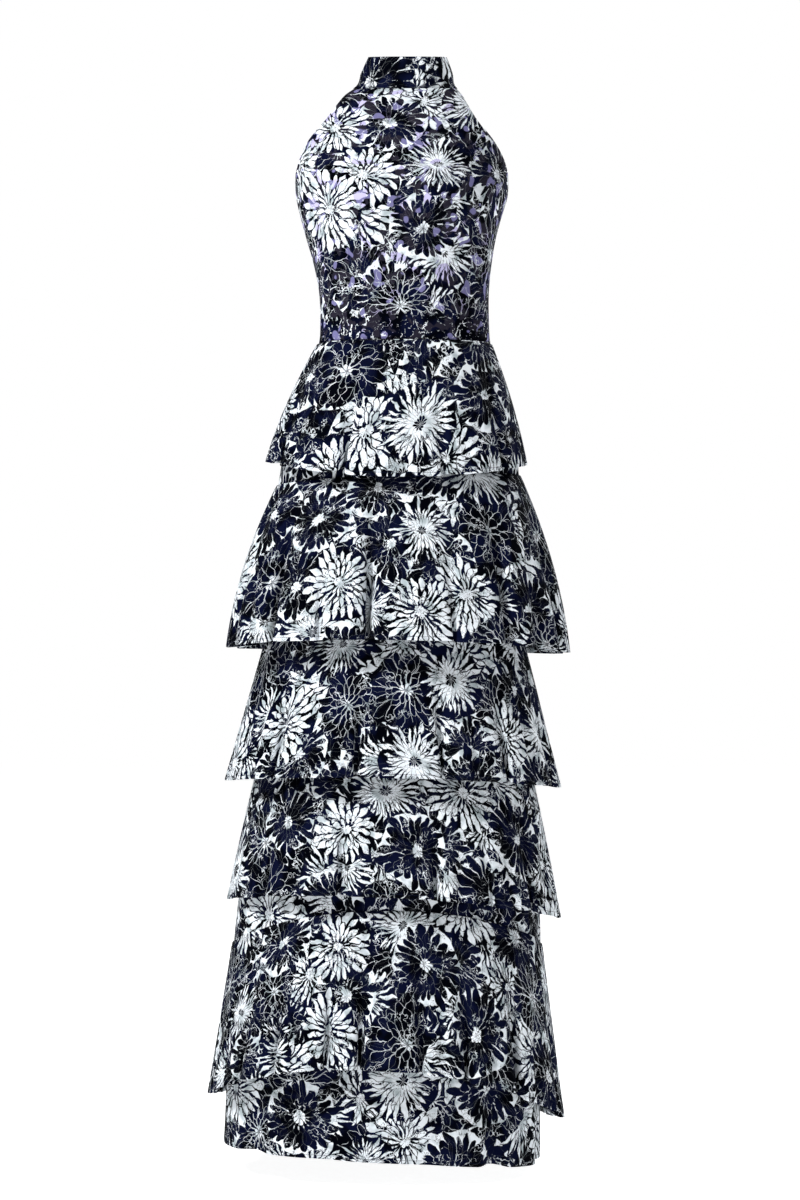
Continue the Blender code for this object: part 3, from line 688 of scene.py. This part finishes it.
def bloom_layer(spacing, line):
    """One scatter of blooms over what lies below them. Four kinds: white and jagged, white and boldly outlined,
    solid dark on a pale ground, and dark with drawn petals."""
    tree, add, given = new_group("bloom layer", ["Place", "Below", "Broken", "Bold"], ["Value"])
    row = petal_row()
    named = {"Vector": given["Place"], "Scale": 1 / spacing, "Randomness": BLOOM_STRAY}
    scatter = {"voronoi_dimensions": "2D", "named": named}
    cell = add("ShaderNodeTexVoronoi", **scatter).node
    room = add("ShaderNodeTexVoronoi", feature="N_SPHERE_RADIUS", **scatter).node.outputs["Radius"]
    away = add("ShaderNodeVectorMath", given["Place"], cell.outputs["Position"], operation="SUBTRACT")
    away = add("ShaderNodeSeparateXYZ", away).node.outputs
    radius = add("SQRT", add("ADD", add("POWER", away[0], 2), add("POWER", away[1], 2)))
    turn = add("MULTIPLY_ADD", add("ARCTAN2", away[1], away[0]), 0.5 / math.pi, 0.5)
    kind, size, dice = add("ShaderNodeSeparateColor", cell.outputs["Color"]).node.outputs
    widest = add("MULTIPLY_ADD", size, BLOOM_VARIES * spacing, BLOOM_REACH * spacing)
    widest = add("MINIMUM", add("MULTIPLY", room, BLOOM_OVERLAP * spacing), widest)

    white = add("LESS_THAN", kind, WHITE_SHARE)
    jagged = add("LESS_THAN", kind, JAGGED_SHARE)
    drawn = add("GREATER_THAN", kind, 1 - DRAWN_SHARE)
    solid = add("SUBTRACT", add("SUBTRACT", 1, white), drawn)
    petals = add("MULTIPLY_ADD", drawn, -PETALS_DIFFER, PETALS)
    for more in (dice, jagged):
        petals = add("MULTIPLY_ADD", more, PETALS_DIFFER, petals)
    fat = add("MULTIPLY_ADD", jagged, JAGGED_FAT - ROUND_FAT, ROUND_FAT)
    blunt = add("MULTIPLY_ADD", jagged, JAGGED_BLUNT - ROUND_BLUNT, ROUND_BLUNT)
    strength = add("MAXIMUM", given["Broken"], add("MAXIMUM", white, drawn))
    width = add("MULTIPLY", strength, add("MULTIPLY_ADD", white, given["Bold"], line))
    thinner = add("ShaderNodeMapRange", add("DIVIDE", radius, widest), *LINES_THIN)
    width = add("MULTIPLY", width, add("MULTIPLY_ADD", thinner, jagged, 1))

    value = solid
    covered = None
    for share, count, seed in PETAL_ROWS:
        form_of_row = {
            "Radius": radius,
            "Turn": turn,
            "Reach": add("MULTIPLY", widest, share),
            "Petals": add("ROUND", add("MULTIPLY", petals, count)),
            "Fat": fat,
            "Blunt": blunt,
            "Seed": add("FRACT", add("ADD", dice, seed)),
        }
        edge = add("ShaderNodeGroup", node_tree=row, named=form_of_row)
        here = add("ShaderNodeMapRange", edge, *PETAL_EDGE, 0, 1)
        inked = add("ShaderNodeMapRange", add("SUBTRACT", edge, width), *LINE_EDGE, 1, 0)
        filled = white if count > STAR_COUNT else add("SUBTRACT", 1, white)
        mark = add("ABSOLUTE", add("SUBTRACT", filled, inked))
        value = add("MULTIPLY_ADD", mark, here, add("MULTIPLY", value, add("SUBTRACT", 1, here)))
        if covered is None:
            ground = add("MULTIPLY_ADD", widest, GROUND_SHARE, add("MULTIPLY", radius, -1))
            covered = add("MAXIMUM", here, add("ShaderNodeMapRange", ground, *GROUND_EDGE, 0, 1))
    kept = add("MULTIPLY", given["Below"], add("SUBTRACT", 1, covered))
    add("NodeGroupOutput", add("MULTIPLY_ADD", value, covered, kept))
    return tree


# Where each scatter of blooms is shifted and turned, as the print was drawn, from the lowest one up.
Scatter = namedtuple("Scatter", "x y turn")
SCATTERS = (
    Scatter(0.31, 0.12, 17), Scatter(0.83, 0.57, 68), Scatter(1.47, 0.95, 133), Scatter(2.11, 1.39, 211),
    Scatter(0.17, 2.03, 289),
)
# How the drawn shapes waver, coarse to fine: the wavers to a metre, and how far each moves the ink, in metres.
WAVERS = ((34, 0.013), (120, 0.0024), (420, 0.0006))
# Soft-edged patches of the print: their number to a metre, their detail, the two values of the noise between
# which they fade, and what they give at each. A bold outline is given in widths of a drawn line.
Patch = namedtuple("Patch", "count detail low high start end", defaults=(0, 1))
PATCHES = {
    "scribbled": Patch(31, 1, 0.54, 0.62, 0, 0.8),
    "lined": Patch(46, 1, 0.53, 0.59),
    "unbroken": Patch(140, 1, 0.4, 0.5),
    "bold": Patch(70, 2, 0.3, 0.7, 0.5, 3.2),
    "splashed": Patch(40, 1, 0.56, 0.62, 0, 0.8),
    "specked": Patch(55, 1, 0.46, 0.56, 0, -0.9),
    "shaded": Patch(48, 2, 0.42, 0.78),
    "navy": Patch(27, 2, 0.4, 0.62),
    "pale lavender": Patch(38, 1, 0.63, 0.67),
    "grey": Patch(45, 2, 0.54, 0.58),
    "lavender": Patch(47, 1, 0.66, 0.69),
    "unveiled": Patch(22, 1, 0.5, 0.56, 1, 0),
}
# Scribbled lines run where a noise crosses its middle: their number to a metre, and their half width in it.
SCRIBBLE = (90, 0.018)
SPLASH = (110, 0.012)
SPECK = (230, 0.014)
# The very smallest wrinkles, in the material's bump: their number to a metre.
WRINKLE_COUNT = 26
# The scribbled band over the waist, in millimetres, how far its top edge wanders, and its wavers to a metre.
WAIST_BAND_TOP = -348
WAIST_BAND_SOFT = 3
WAIST_BAND_WANDERS = 16
WAIST_BAND_WAVERS = 60
# Sizes in millimetres.
THREAD_PITCH = 1.2
STITCH_PITCH = 2.5
STITCH_FROM_HEM = 5
STITCH_SHARE = 0.72
TAPE_RIB_PITCH = 0.98
COIL_SCUFF = 1.11
LACQUER_WEAR = 2.38
PALE_LAVENDER = "#bdb9dc"
LAVENDER = "#6f6d97"
SHEER_GREY = "#24222d"
STITCH_NAVY = "#141a30"


def wave_scale(pitch):
    """The Wave texture's scale for a pitch in millimetres."""
    return 2 * math.pi / (20 * pitch * MM)


def printed_cloth(gown, name, sheer=False, veiled=False):
    """Light woven cloth, screen printed with chrysanthemum blooms: matt, with soft-edged ink lines about two
    millimetres wide and a faint grain. The bodice's is sheer, so small patches of it look lavender and grey.
    Where it is veiled, fine scribbled lines take the place of its white petals."""
    made, add = new_material(name)
    cut = add("ShaderNodeAttribute", attribute_name="cut").node.outputs["Vector"]
    flat = add("ShaderNodeVectorMath", cut, (1, 1, 0), operation="MULTIPLY")

    def patch(name):
        count, detail, *fade = PATCHES[name]
        spots = {"Vector": flat, "Scale": count, "Detail": detail}
        spots = add("ShaderNodeTexNoise", noise_dimensions="2D", named=spots)
        return add("ShaderNodeMapRange", spots, *fade, interpolation_type="SMOOTHSTEP")

    def scribble(count, wide):
        winding = {"Vector": flat, "Scale": count, "Detail": 2}
        winding = add("ShaderNodeTexNoise", noise_dimensions="2D", named=winding)
        winding = add("ABSOLUTE", add("SUBTRACT", winding, 0.5))
        return add("ShaderNodeMapRange", winding, wide, 2.2 * wide, 1, 0, interpolation_type="SMOOTHSTEP")

    place = flat
    for count, amount in WAVERS:
        drift = {"Vector": flat, "Scale": count, "Detail": 1}
        drift = add("ShaderNodeTexNoise", noise_dimensions="2D", named=drift).node.outputs["Color"]
        drift = add("ShaderNodeVectorMath", drift, (0.5, 0.5, 0.5), operation="SUBTRACT")
        drift = add("ShaderNodeVectorMath", drift, (amount, amount, 0), operation="MULTIPLY")
        place = add("ShaderNodeVectorMath", place, drift, operation="ADD")
    scribbled = scribble(*SCRIBBLE)
    value = add("MULTIPLY", scribbled, patch("scribbled"))
    broken = add("MULTIPLY", patch("lined"), patch("unbroken"))
    bold = add("MULTIPLY", patch("bold"), gown.line_width)
    layer = bloom_layer(gown.bloom_spacing, gown.line_width)
    for scatter in SCATTERS:
        turn = (0, 0, math.radians(scatter.turn))
        here = add("ShaderNodeMapping", place, (scatter.x, scatter.y, 0), turn, (1, 1, 1))
        layered = {"Place": here, "Below": value, "Broken": broken, "Bold": bold}
        value = add("ShaderNodeGroup", node_tree=layer, named=layered)
    value = add("MAXIMUM", value, add("MULTIPLY", scribble(*SPLASH), patch("splashed")))
    value = add("MULTIPLY", value, add("MULTIPLY_ADD", scribble(*SPECK), patch("specked"), 1))

    white, shade, navy, black = ((*ink, 1) for ink in (gown.white, gown.shade, gown.navy, gown.black))
    light = coated(add, white, (patch("shaded"), shade))
    dark = coated(add, black, (patch("navy"), navy))
    if sheer:
        light = coated(add, light, (patch("pale lavender"), linear(PALE_LAVENDER)))
        dark = coated(add, dark, (patch("grey"), linear(SHEER_GREY)), (patch("lavender"), linear(LAVENDER)))
        place = add("ShaderNodeNewGeometry").node.outputs["Position"]
        height = add("ShaderNodeSeparateXYZ", place).node.outputs[2]
        height = add("SUBTRACT", height, WAIST_BAND_WANDERS / 2 * MM)
        drift = {"Vector": flat, "Scale": WAIST_BAND_WAVERS, "Detail": 1}
        drift = add("ShaderNodeTexNoise", noise_dimensions="2D", named=drift)
        height = add("MULTIPLY_ADD", drift, WAIST_BAND_WANDERS * MM, height)
        ends = [(WAIST_BAND_TOP + side * WAIST_BAND_SOFT) * MM for side in (-1, 1)]
        clear = add("ShaderNodeMapRange", height, *ends, 0, 1, interpolation_type="SMOOTHSTEP")
    if veiled:
        clear = patch("unveiled")
    if sheer or veiled:
        value = add("MINIMUM", value, add("MAXIMUM", clear, scribbled))

    from_hem = add("ShaderNodeSeparateXYZ", cut).node.outputs
    dash = add("FRACT", add("MULTIPLY", from_hem[0], 1 / (STITCH_PITCH * MM)))
    line = add("ABSOLUTE", add("SUBTRACT", from_hem[2], STITCH_FROM_HEM * MM))
    line = add("ShaderNodeMapRange", line, 0.0002, 0.0005, 1, 0, interpolation_type="SMOOTHSTEP")
    stitch = add("MULTIPLY", line, add("LESS_THAN", dash, STITCH_SHARE))
    colour = coated(add, dark, (value, light), (stitch, linear(STITCH_NAVY)))

    threads = {"Vector": flat, "Scale": wave_scale(THREAD_PITCH)}
    weft, warp = (add("ShaderNodeTexWave", bands_direction=way, named=threads).node.outputs[1] for way in "XY")
    grain = add("ADD", add("MULTIPLY", weft, warp), add("MULTIPLY", stitch, -3))
    wrinkles = {"Vector": flat, "Scale": WRINKLE_COUNT, "Detail": 2}
    wrinkles = add("ShaderNodeTexNoise", noise_dimensions="2D", named=wrinkles)
    bump = add("ShaderNodeBump", named={"Height": wrinkles, "Distance": 0.006, "Strength": 0.6})
    bump = add("ShaderNodeBump", named={"Height": grain, "Distance": 0.00012, "Strength": 0.6, "Normal": bump})
    cloth = add("ShaderNodeBsdfPrincipled", named={"Base Color": colour, "Normal": bump}).node
    cloth.inputs["Roughness"].default_value = 0.9
    cloth.inputs["Specular IOR Level"].default_value = 0.015
    add("ShaderNodeOutputMaterial", cloth.outputs[0])
    return made


def woven_tape():
    """Woven polyester zip tape: a matt navy with a fine herringbone rib."""
    made, add = new_material("woven polyester tape")
    cut = add("ShaderNodeAttribute", attribute_name="cut").node.outputs["Vector"]
    threads = {"Vector": cut, "Scale": wave_scale(TAPE_RIB_PITCH)}
    rib = add("ShaderNodeTexWave", bands_direction="DIAGONAL", named=threads).node.outputs[1]
    colour = coated(add, linear("#0d1020"), (rib, linear("#1b2038")))
    bump = add("ShaderNodeBump", named={"Height": rib, "Distance": 0.00015, "Strength": 0.7})
    tape = add("ShaderNodeBsdfPrincipled", named={"Base Color": colour, "Normal": bump}).node
    tape.inputs["Roughness"].default_value = 0.82
    add("ShaderNodeOutputMaterial", tape.outputs[0])
    return made


def moulded_coil():
    """Moulded nylon coil: dark navy and a little glossy, with faint scuffs."""
    made, add = new_material("moulded nylon coil")
    place = add("ShaderNodeTexCoord").node.outputs["Object"]
    scuff = add("ShaderNodeTexNoise", named={"Vector": place, "Scale": 1 / (COIL_SCUFF * MM), "Detail": 3})
    colour = coated(add, linear("#0b0e1c"), (scuff, linear("#171c33")))
    rough = add("ShaderNodeMapRange", scuff, 0.3, 0.7, 0.38, 0.55)
    coil = add("ShaderNodeBsdfPrincipled", named={"Base Color": colour, "Roughness": rough}).node
    add("ShaderNodeOutputMaterial", coil.outputs[0])
    return made


def lacquered_zinc():
    """Die-cast zinc under baked navy lacquer: a smooth dark gloss, worn a little paler in patches."""
    made, add = new_material("lacquered zinc")
    place = add("ShaderNodeTexCoord").node.outputs["Object"]
    wear = add("ShaderNodeTexNoise", named={"Vector": place, "Scale": 1 / (LACQUER_WEAR * MM), "Detail": 4})
    worn = add("ShaderNodeMapRange", wear, 0.58, 0.72, 0, 1)
    colour = coated(add, linear("#0b0e1a"), (worn, linear("#2c3040")))
    rough = add("ShaderNodeMapRange", wear, 0.3, 0.7, 0.24, 0.4)
    metal = add("ShaderNodeBsdfPrincipled", named={"Base Color": colour, "Roughness": rough}).node
    metal.inputs["Metallic"].default_value = 1
    metal.inputs["Coat Weight"].default_value = 0.6
    add("ShaderNodeOutputMaterial", metal.outputs[0])
    return made


@functools.cache
def finish(name):
    """The material of a finish's name, made once."""
    gown = bpy.context.scene.gown
    makers = {
        "printed": lambda: printed_cloth(gown, "screen printed woven cloth"),
        "sheer": lambda: printed_cloth(gown, "screen printed sheer cloth", sheer=True),
        "veiled": lambda: printed_cloth(gown, "screen printed woven cloth, veiled", veiled=True),
        "tape": woven_tape,
        "coil": moulded_coil,
        "metal": lacquered_zinc,
    }
    return makers[name]()


# The pieces.


def outward(angle, z):
    """Level outward directions of the skirt's face."""
    across = form(angle + 0.5, z) - form(angle - 0.5, z)
    return unit(np.stack([across[..., 1], -across[..., 0], np.zeros_like(across[..., 0])], -1))


def on_skirt(angle, z, off):
    """Points on the skirt, moved out by a distance."""
    return form(angle, z) + outward(angle, z) * np.asarray(off)[..., None]


def make_neckband(gown):
    """A band folded lengthwise: up inside, round over the top and down outside."""
    mouth = math.degrees((ZIP_MOUTH - SEAM_GAP) / 2 / NECK_DEPTH)
    angles = steps_between(-180 + mouth, 180 - mouth, NECKBAND_COLUMN_DEGREES)
    top, bottom = NECK_TOP - NECKBAND_BEND, NECK_SEAM + SEAM_GAP / 2
    heights = steps_between(bottom, top, NECKBAND_ROW)
    turns = [math.pi * i / NECKBAND_BEND_STEPS for i in range(1, NECKBAND_BEND_STEPS)]
    route = [(z, 2 * NECKBAND_BEND) for z in heights]
    route += [(top + NECKBAND_BEND * math.sin(t), NECKBAND_BEND * (1 + math.cos(t))) for t in turns]
    route += [(z, 0) for z in heights[::-1]]
    z, inside = (np.array(values)[:, None] + 0 * angles for values in zip(*route))
    angle = angles + 0 * z
    points = form(angle, np.minimum(z, NECK_TOP)) - outward(angle, z) * inside[..., None]
    points[..., 2] += np.maximum(z - NECK_TOP, 0)
    cut = cut_of(points, CUT_FROM["neckband"])
    cut[..., 2] = NO_HEM
    piece = sheet_of("neckband", points, cut, gown, finish("veiled"))
    declare(cut)


def bodice_piece(name, angle, z, gown):
    """A piece of the bodice, with its two side edges turned in as the seam allowances."""
    points = parted(creased(form(angle, z), angle, z, BODICE_CREASES))
    cut = cut_of(points, CUT_FROM[name])
    cut[..., 2] = NO_HEM
    normals = normals_of(points)
    laid_out = cut
    for end in (0, -1):
        points, cut, normals = turned(points, cut, normals, 1, end, SEAM_ALLOWANCE)
    piece = sheet_of(name, points, cut, gown, finish("sheer"))
    declare(laid_out)


def make_bodice(gown):
    """The halter's front, cut to its armholes and darted for the cups, and the two backs beside the zip."""
    top, bottom = NECK_SEAM - SEAM_GAP / 2, WAIST + SEAM_GAP / 2
    heights = steps_between(top, bottom, BODICE_ROW)[:, None]
    across = np.linspace(-1, 1, BODICE_FRONT_COLUMNS)
    bodice_piece("bodice_front", across * armhole_angle(heights, "front"), heights + 0 * across, gown)
    share = np.linspace(1, 0, BODICE_BACK_COLUMNS)
    backs = 180 - share * armhole_angle(heights, "back")
    bodice_piece("bodice_back_plus", backs, heights + 0 * share, gown)
    bodice_piece("bodice_back_minus", -backs[:, ::-1], heights + 0 * share, gown)


def make_skirt(gown):
    """The close skirt that carries the flounces, cut as a front and two backs, with a turned hem."""
    last = SECTIONS[-2].z
    above, below = steps_between(SKIRT_TOP, last, SKIRT_ROW), steps_between(last, SKIRT_HEM, SKIRT_HEM_ROW)
    heights = np.append(above, below[1:])[:, None]
    pieces = (("skirt_front", -90, 90), ("skirt_back_plus", 90, 180), ("skirt_back_minus", -180, -90))
    for number, (name, start, end) in enumerate(pieces):
        angle = steps_between(start, end, SKIRT_COLUMN_DEGREES) + 0 * heights
        z = heights + 0 * angle
        rise = skirt_fold(angle, SKIRT_HEM)[1] + around(HEM_RISE, angle)
        points = form(angle, z)
        points[..., 2] += rise * np.clip((last - z) / (last - SKIRT_HEM), 0, 1)
        points = parted(creased(points, angle, z, SKIRT_CREASES))
        cut = cut_of(points, (500 * number, 1500))
        laid_out = cut
        points, cut, _ = turned(points, cut, normals_of(points), 0, -1, gown.hem_depth / MM)
        piece = sheet_of(name, points, cut, gown, finish("printed"))
        declare(laid_out)


def flounce_points(flounce, ripples, angles, downs):
    """A flounce's outer face: a flare off its seam, folded into valleys towards the skirt, with ripples."""
    angle, down = np.meshgrid(angles, downs)
    share = turn = lift = 0
    for fold in flounce.folds:
        t = np.clip(turn_between(angle, fold.at) / fold.span, -1, 1)
        share = np.maximum(share, FOLD_DEEPER * fold.depth * hump(t))
        lift = lift + fold.lift * hump(t)
        turn = turn + fold.lean * hump(t) - FOLD_STEEP * fold.span * t * np.sin(np.pi * np.abs(t))
    grown = down**FOLD_GROWTH
    turned_angle = angle + turn * grown
    seam, hem = around(flounce.seam, angle), around(flounce.hem, angle) + lift
    z = seam + (hem - seam) * down
    top = on_skirt(angle, seam, np.full_like(angle, CLEAR_OF_SKIRT))
    edge_x, edge_y = oval(turned_angle, flounce.half_width, flounce.front, flounce.back, flounce.shift)
    flare = down + flounce.bow * down * (1 - down)
    x, y = (top[..., i] + (edge - top[..., i]) * flare for i, edge in enumerate((edge_x, edge_y)))
    crest = np.stack([x, y, z], -1)
    floor = on_skirt(turned_angle, z, CLEAR_OF_SKIRT + CLEARER_AT_HEM * down)
    room = np.linalg.norm(floor - crest, axis=-1)
    pressed = 0
    for ripple in ripples:
        middle = (ripple.top + ripple.foot) / 2
        at = ripple.at + ripple.slant * (down - middle)
        run = hump((down - middle) / (ripple.foot - middle))
        pressed = pressed + ripple.depth * hump(turn_between(angle, at) / ripple.span) * run
    share = share * grown + pressed * np.clip(room / RIPPLE_ROOM, 0, 1) / np.maximum(room, 1)
    points = crest + (floor - crest) * np.clip(share, *FOLD_LIMITS)[..., None]
    waves = sum(tall * np.sin(np.radians(angle * count + begin)) for count, begin, tall in PUCKER_WAVES)
    pucker = PUCKER_DEPTH * waves * np.exp(-(seam - z) / PUCKER_LENGTH) * (down > 0)
    return points + outward(angle, z) * pucker[..., None]


def make_flounces(gown):
    """Five flounces, each a front and a back cut as part of a ring, with a turned hem and a turned top."""
    for number, (flounce, ripples) in enumerate(zip(FLOUNCES, RIPPLES)):
        parts = [("front", -90, 90), ("back", 90, 270)]
        if number == 0:
            parts[1:] = [("back_plus", 90, 180), ("back_minus", 180, 270)]
        drop = flounce.seam.front - flounce.hem.front
        downs = steps_between(0, 1, FLOUNCE_ROW / drop)
        for k, (place, start, end) in enumerate(parts):
            angles = steps_between(start, end, math.degrees(FLOUNCE_COLUMN / flounce.half_width))
            points = parted(flounce_points(flounce, ripples, angles, downs))
            cut = cut_of(points, (700 * k + 350 * number, 2600 + 640 * number), fans=True)
            laid_out = cut
            normals = normals_of(points)
            points, cut, normals = turned(points, cut, normals, 0, -1, gown.hem_depth / MM)
            points, cut, normals = turned(points, cut, normals, 0, 0, SEAM_ALLOWANCE)
            name = f"{flounce.name}_{place}"
            piece = sheet_of(name, points, cut, gown, finish("printed"))
            declare(laid_out)


def angle_beside_back(z, across):
    """The angle of the point that lies this far across from the centre back."""
    share = across / smooth_at(z, SECTIONS, "half_width")
    return 180 - np.degrees(np.arcsin(share ** (ROUNDNESS / 2)))


def make_zip_tapes(gown):
    """Two woven tapes inside the centre back, which meet at the zip's teeth."""
    z = steps_between(ZIP_TOP, ZIP_END, TAPE_ROW)[:, None]
    edges = np.linspace(1, 0, TAPE_COLUMNS) * ZIP_TAPE_WIDTH + (ZIP_MOUTH - SEAM_GAP) / 2
    plus = angle_beside_back(z, edges)
    for name, angle in (("zip_tape_plus", plus), ("zip_tape_minus", -plus[:, ::-1])):
        outer = form(angle, z + 0 * angle)
        points = outer - normals_of(outer) * TAPE_INSET
        cut = cut_of(points, CUT_FROM[name])
        piece = sheet_of(name, points, cut, gown, finish("tape"))
        declare(cut)


def make_zip_teeth():
    """A coil's teeth in turn from each tape, one joined mesh down the centre back, and the slider's lacquer."""
    teeth = steps_between(ZIP_TOP - 3, ZIP_END + 2, TOOTH_PITCH)
    middle, below = form(180 + 0 * teeth, teeth), form(180 + 0 * teeth, teeth - 1)
    down = unit(below - middle)
    out = np.stack([0 * teeth, -down[:, 2], down[:, 1]], -1)
    seat = middle - out * (TAPE_INSET + TOOTH_THICK / 2)
    side = np.where(np.arange(len(teeth)) % 2, 1, -1)[:, None] * np.array([1.0, 0, 0])
    verts, faces = [], []
    for centre, along, outward_, across in zip(seat, down, out, side):
        first = len(verts)
        for x, z, y in itertools.product((TOOTH_ROOT, TOOTH_REACH), (-1, 1), (-1, 1)):
            corner = centre + across * x + along * z * TOOTH_PITCH * TOOTH_HALF_SHARE
            verts.append((corner + outward_ * y * TOOTH_THICK / 2) * MM)
        faces += [[first + i for i in loop] for loop in BOX_LOOPS]
    mesh = bpy.data.meshes.new("zip_teeth")
    mesh.from_pydata([tuple(vert) for vert in verts], [], faces)
    mesh.materials.append(finish("coil"))
    piece = placed("zip_teeth", mesh)
    bevelled(piece, "rounded teeth", 0.15, 1)
    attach(piece, "gown")
    for node in ("zip_slider", "zip_pull"):
        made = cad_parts[node]
        for slot in made.material_slots:
            slot.material = finish("metal")
        bevelled(made, "cast edges", 0.18, 2)


def make_zip(gown):
    """The whole zip: its tapes, teeth, slider and pull."""
    make_zip_tapes(gown)
    make_zip_teeth()


# The stage.


def make_stage(gown):
    """A plain white floor, a level camera straight in front and soft studio lights."""
    scene = bpy.context.scene
    bpy.ops.mesh.primitive_plane_add(size=FLOOR_SIZE, location=(0, 0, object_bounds()[0].z - gown.floor_gap))
    floor = bpy.context.object
    floor.name = "floor"
    paper = bpy.data.materials.new("backlit matt paper")
    paper.use_nodes = True
    shader = paper.node_tree.nodes["Principled BSDF"]
    shader.inputs["Base Color"].default_value = linear("#bcbcbc")
    shader.inputs["Roughness"].default_value = 0.95
    shader.inputs["Emission Color"].default_value = (1, 1, 1, 1)
    shader.inputs["Emission Strength"].default_value = FLOOR_GLOW
    floor.data.materials.append(paper)
    floor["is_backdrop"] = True

    camera = bpy.data.cameras.new("camera")
    camera.sensor_width = SENSOR
    camera.lens = SENSOR * -CAMERA_PLACE[1] / FRAME_TALL
    scene.camera = placed("camera", camera)
    scene.camera.location = CAMERA_PLACE
    scene.camera.rotation_euler = (math.pi / 2, 0, 0)

    world = bpy.data.worlds.new("studio")
    world.use_nodes = True
    world.node_tree.nodes.clear()
    add = functools.partial(add_node, world.node_tree)
    seen = add("ShaderNodeLightPath").node.outputs["Is Camera Ray"]
    strength = add("MULTIPLY_ADD", seen, 1 - gown.fill_light, gown.fill_light)
    add("ShaderNodeOutputWorld", add("ShaderNodeBackground", (1, 1, 1, 1), strength))
    scene.world = world
    scene.view_settings.view_transform = "Standard"
    for lamp in LAMPS:
        light = bpy.data.lights.new(lamp.name, "AREA")
        light.size = lamp.size
        light.energy = gown.key_light * lamp.share
        holder = placed(lamp.name, light)
        holder.location = lamp.place
        holder.rotation_euler = [math.radians(a) for a in lamp.turn]


class GownSettings(bpy.types.PropertyGroup):
    """Sizes and colours of the gown that a user would change."""

    cloth_thickness: FloatProperty(
        name="Cloth thickness", description="How thick the cloth looks", default=0.0006, unit="LENGTH"
    )
    hem_depth: FloatProperty(
        name="Hem depth", description="How far each hem is turned up inside", default=0.008, unit="LENGTH"
    )
    bloom_spacing: FloatProperty(
        name="Bloom spacing", description="Distance between blooms of one scatter", default=0.126, unit="LENGTH"
    )
    line_width: FloatProperty(
        name="Line width", description="Half the width of the print's drawn lines", default=0.00062,
        unit="LENGTH",
    )
    white: FloatVectorProperty(
        name="White", description="The print's white", subtype="COLOR", default=linear("#eaf0f6")[:3]
    )
    shade: FloatVectorProperty(
        name="Shaded white", description="The greyer patches of the white", subtype="COLOR",
        default=linear("#a9b5ba")[:3],
    )
    navy: FloatVectorProperty(
        name="Navy", description="The print's navy ink", subtype="COLOR", default=linear("#080d26")[:3]
    )
    black: FloatVectorProperty(
        name="Black", description="The print's black ink", subtype="COLOR", default=linear("#010207")[:3]
    )
    fill_light: FloatProperty(
        name="Fill light", description="Strength of the room's even light", default=0.12, min=0, max=1,
        subtype="FACTOR",
    )
    key_light: FloatProperty(
        name="Key light", description="Power of the main soft light", default=172, subtype="POWER", unit="POWER"
    )
    floor_gap: FloatProperty(
        name="Floor gap", description="Height of the hem over the floor", default=0.012, unit="LENGTH"
    )


class GownOperator:
    """What the gown's operators share: each makes its pieces from the scene's settings."""

    bl_options = {"REGISTER", "UNDO"}

    def execute(self, context):
        type(self).make(context.scene.gown)
        return {"FINISHED"}


class GOWN_OT_neckband(GownOperator, bpy.types.Operator):
    """Make the neckband"""

    bl_idname = "gown.neckband"
    bl_label = "Neckband"
    make = staticmethod(make_neckband)


class GOWN_OT_bodice(GownOperator, bpy.types.Operator):
    """Make the bodice's front and backs"""

    bl_idname = "gown.bodice"
    bl_label = "Bodice"
    make = staticmethod(make_bodice)


class GOWN_OT_skirt(GownOperator, bpy.types.Operator):
    """Make the skirt that carries the flounces"""

    bl_idname = "gown.skirt"
    bl_label = "Skirt"
    make = staticmethod(make_skirt)


class GOWN_OT_flounces(GownOperator, bpy.types.Operator):
    """Make the five flounces"""

    bl_idname = "gown.flounces"
    bl_label = "Flounces"
    make = staticmethod(make_flounces)


class GOWN_OT_zip(GownOperator, bpy.types.Operator):
    """Make the zip at the centre back"""

    bl_idname = "gown.zip"
    bl_label = "Zip"
    make = staticmethod(make_zip)


class GOWN_OT_stage(GownOperator, bpy.types.Operator):
    """Make the floor, the camera and the lights"""

    bl_idname = "gown.stage"
    bl_label = "Stage"
    make = staticmethod(make_stage)


OPERATORS = (
    GOWN_OT_neckband, GOWN_OT_bodice, GOWN_OT_skirt, GOWN_OT_flounces, GOWN_OT_zip, GOWN_OT_stage,
)


class GOWN_PT_panel(bpy.types.Panel):
    """Lists the gown's settings and its operators"""

    bl_label = "Evening Gown"
    bl_idname = "GOWN_PT_panel"
    bl_space_type = "VIEW_3D"
    bl_region_type = "UI"
    bl_category = "Gown"

    def draw(self, context):
        for setting in GownSettings.__annotations__:
            self.layout.prop(context.scene.gown, setting)
        for operator in OPERATORS:
            self.layout.operator(operator.bl_idname)


CLASSES = (GownSettings, *OPERATORS, GOWN_PT_panel)


def register():
    for made in CLASSES:
        bpy.utils.register_class(made)
    bpy.types.Scene.gown = PointerProperty(type=GownSettings)


def unregister():
    del bpy.types.Scene.gown
    for made in reversed(CLASSES):
        bpy.utils.unregister_class(made)


def main():
    register()
    for operator in OPERATORS:
        getattr(bpy.ops.gown, operator.bl_idname.partition(".")[2])()


if __name__ == "__main__":
    main()
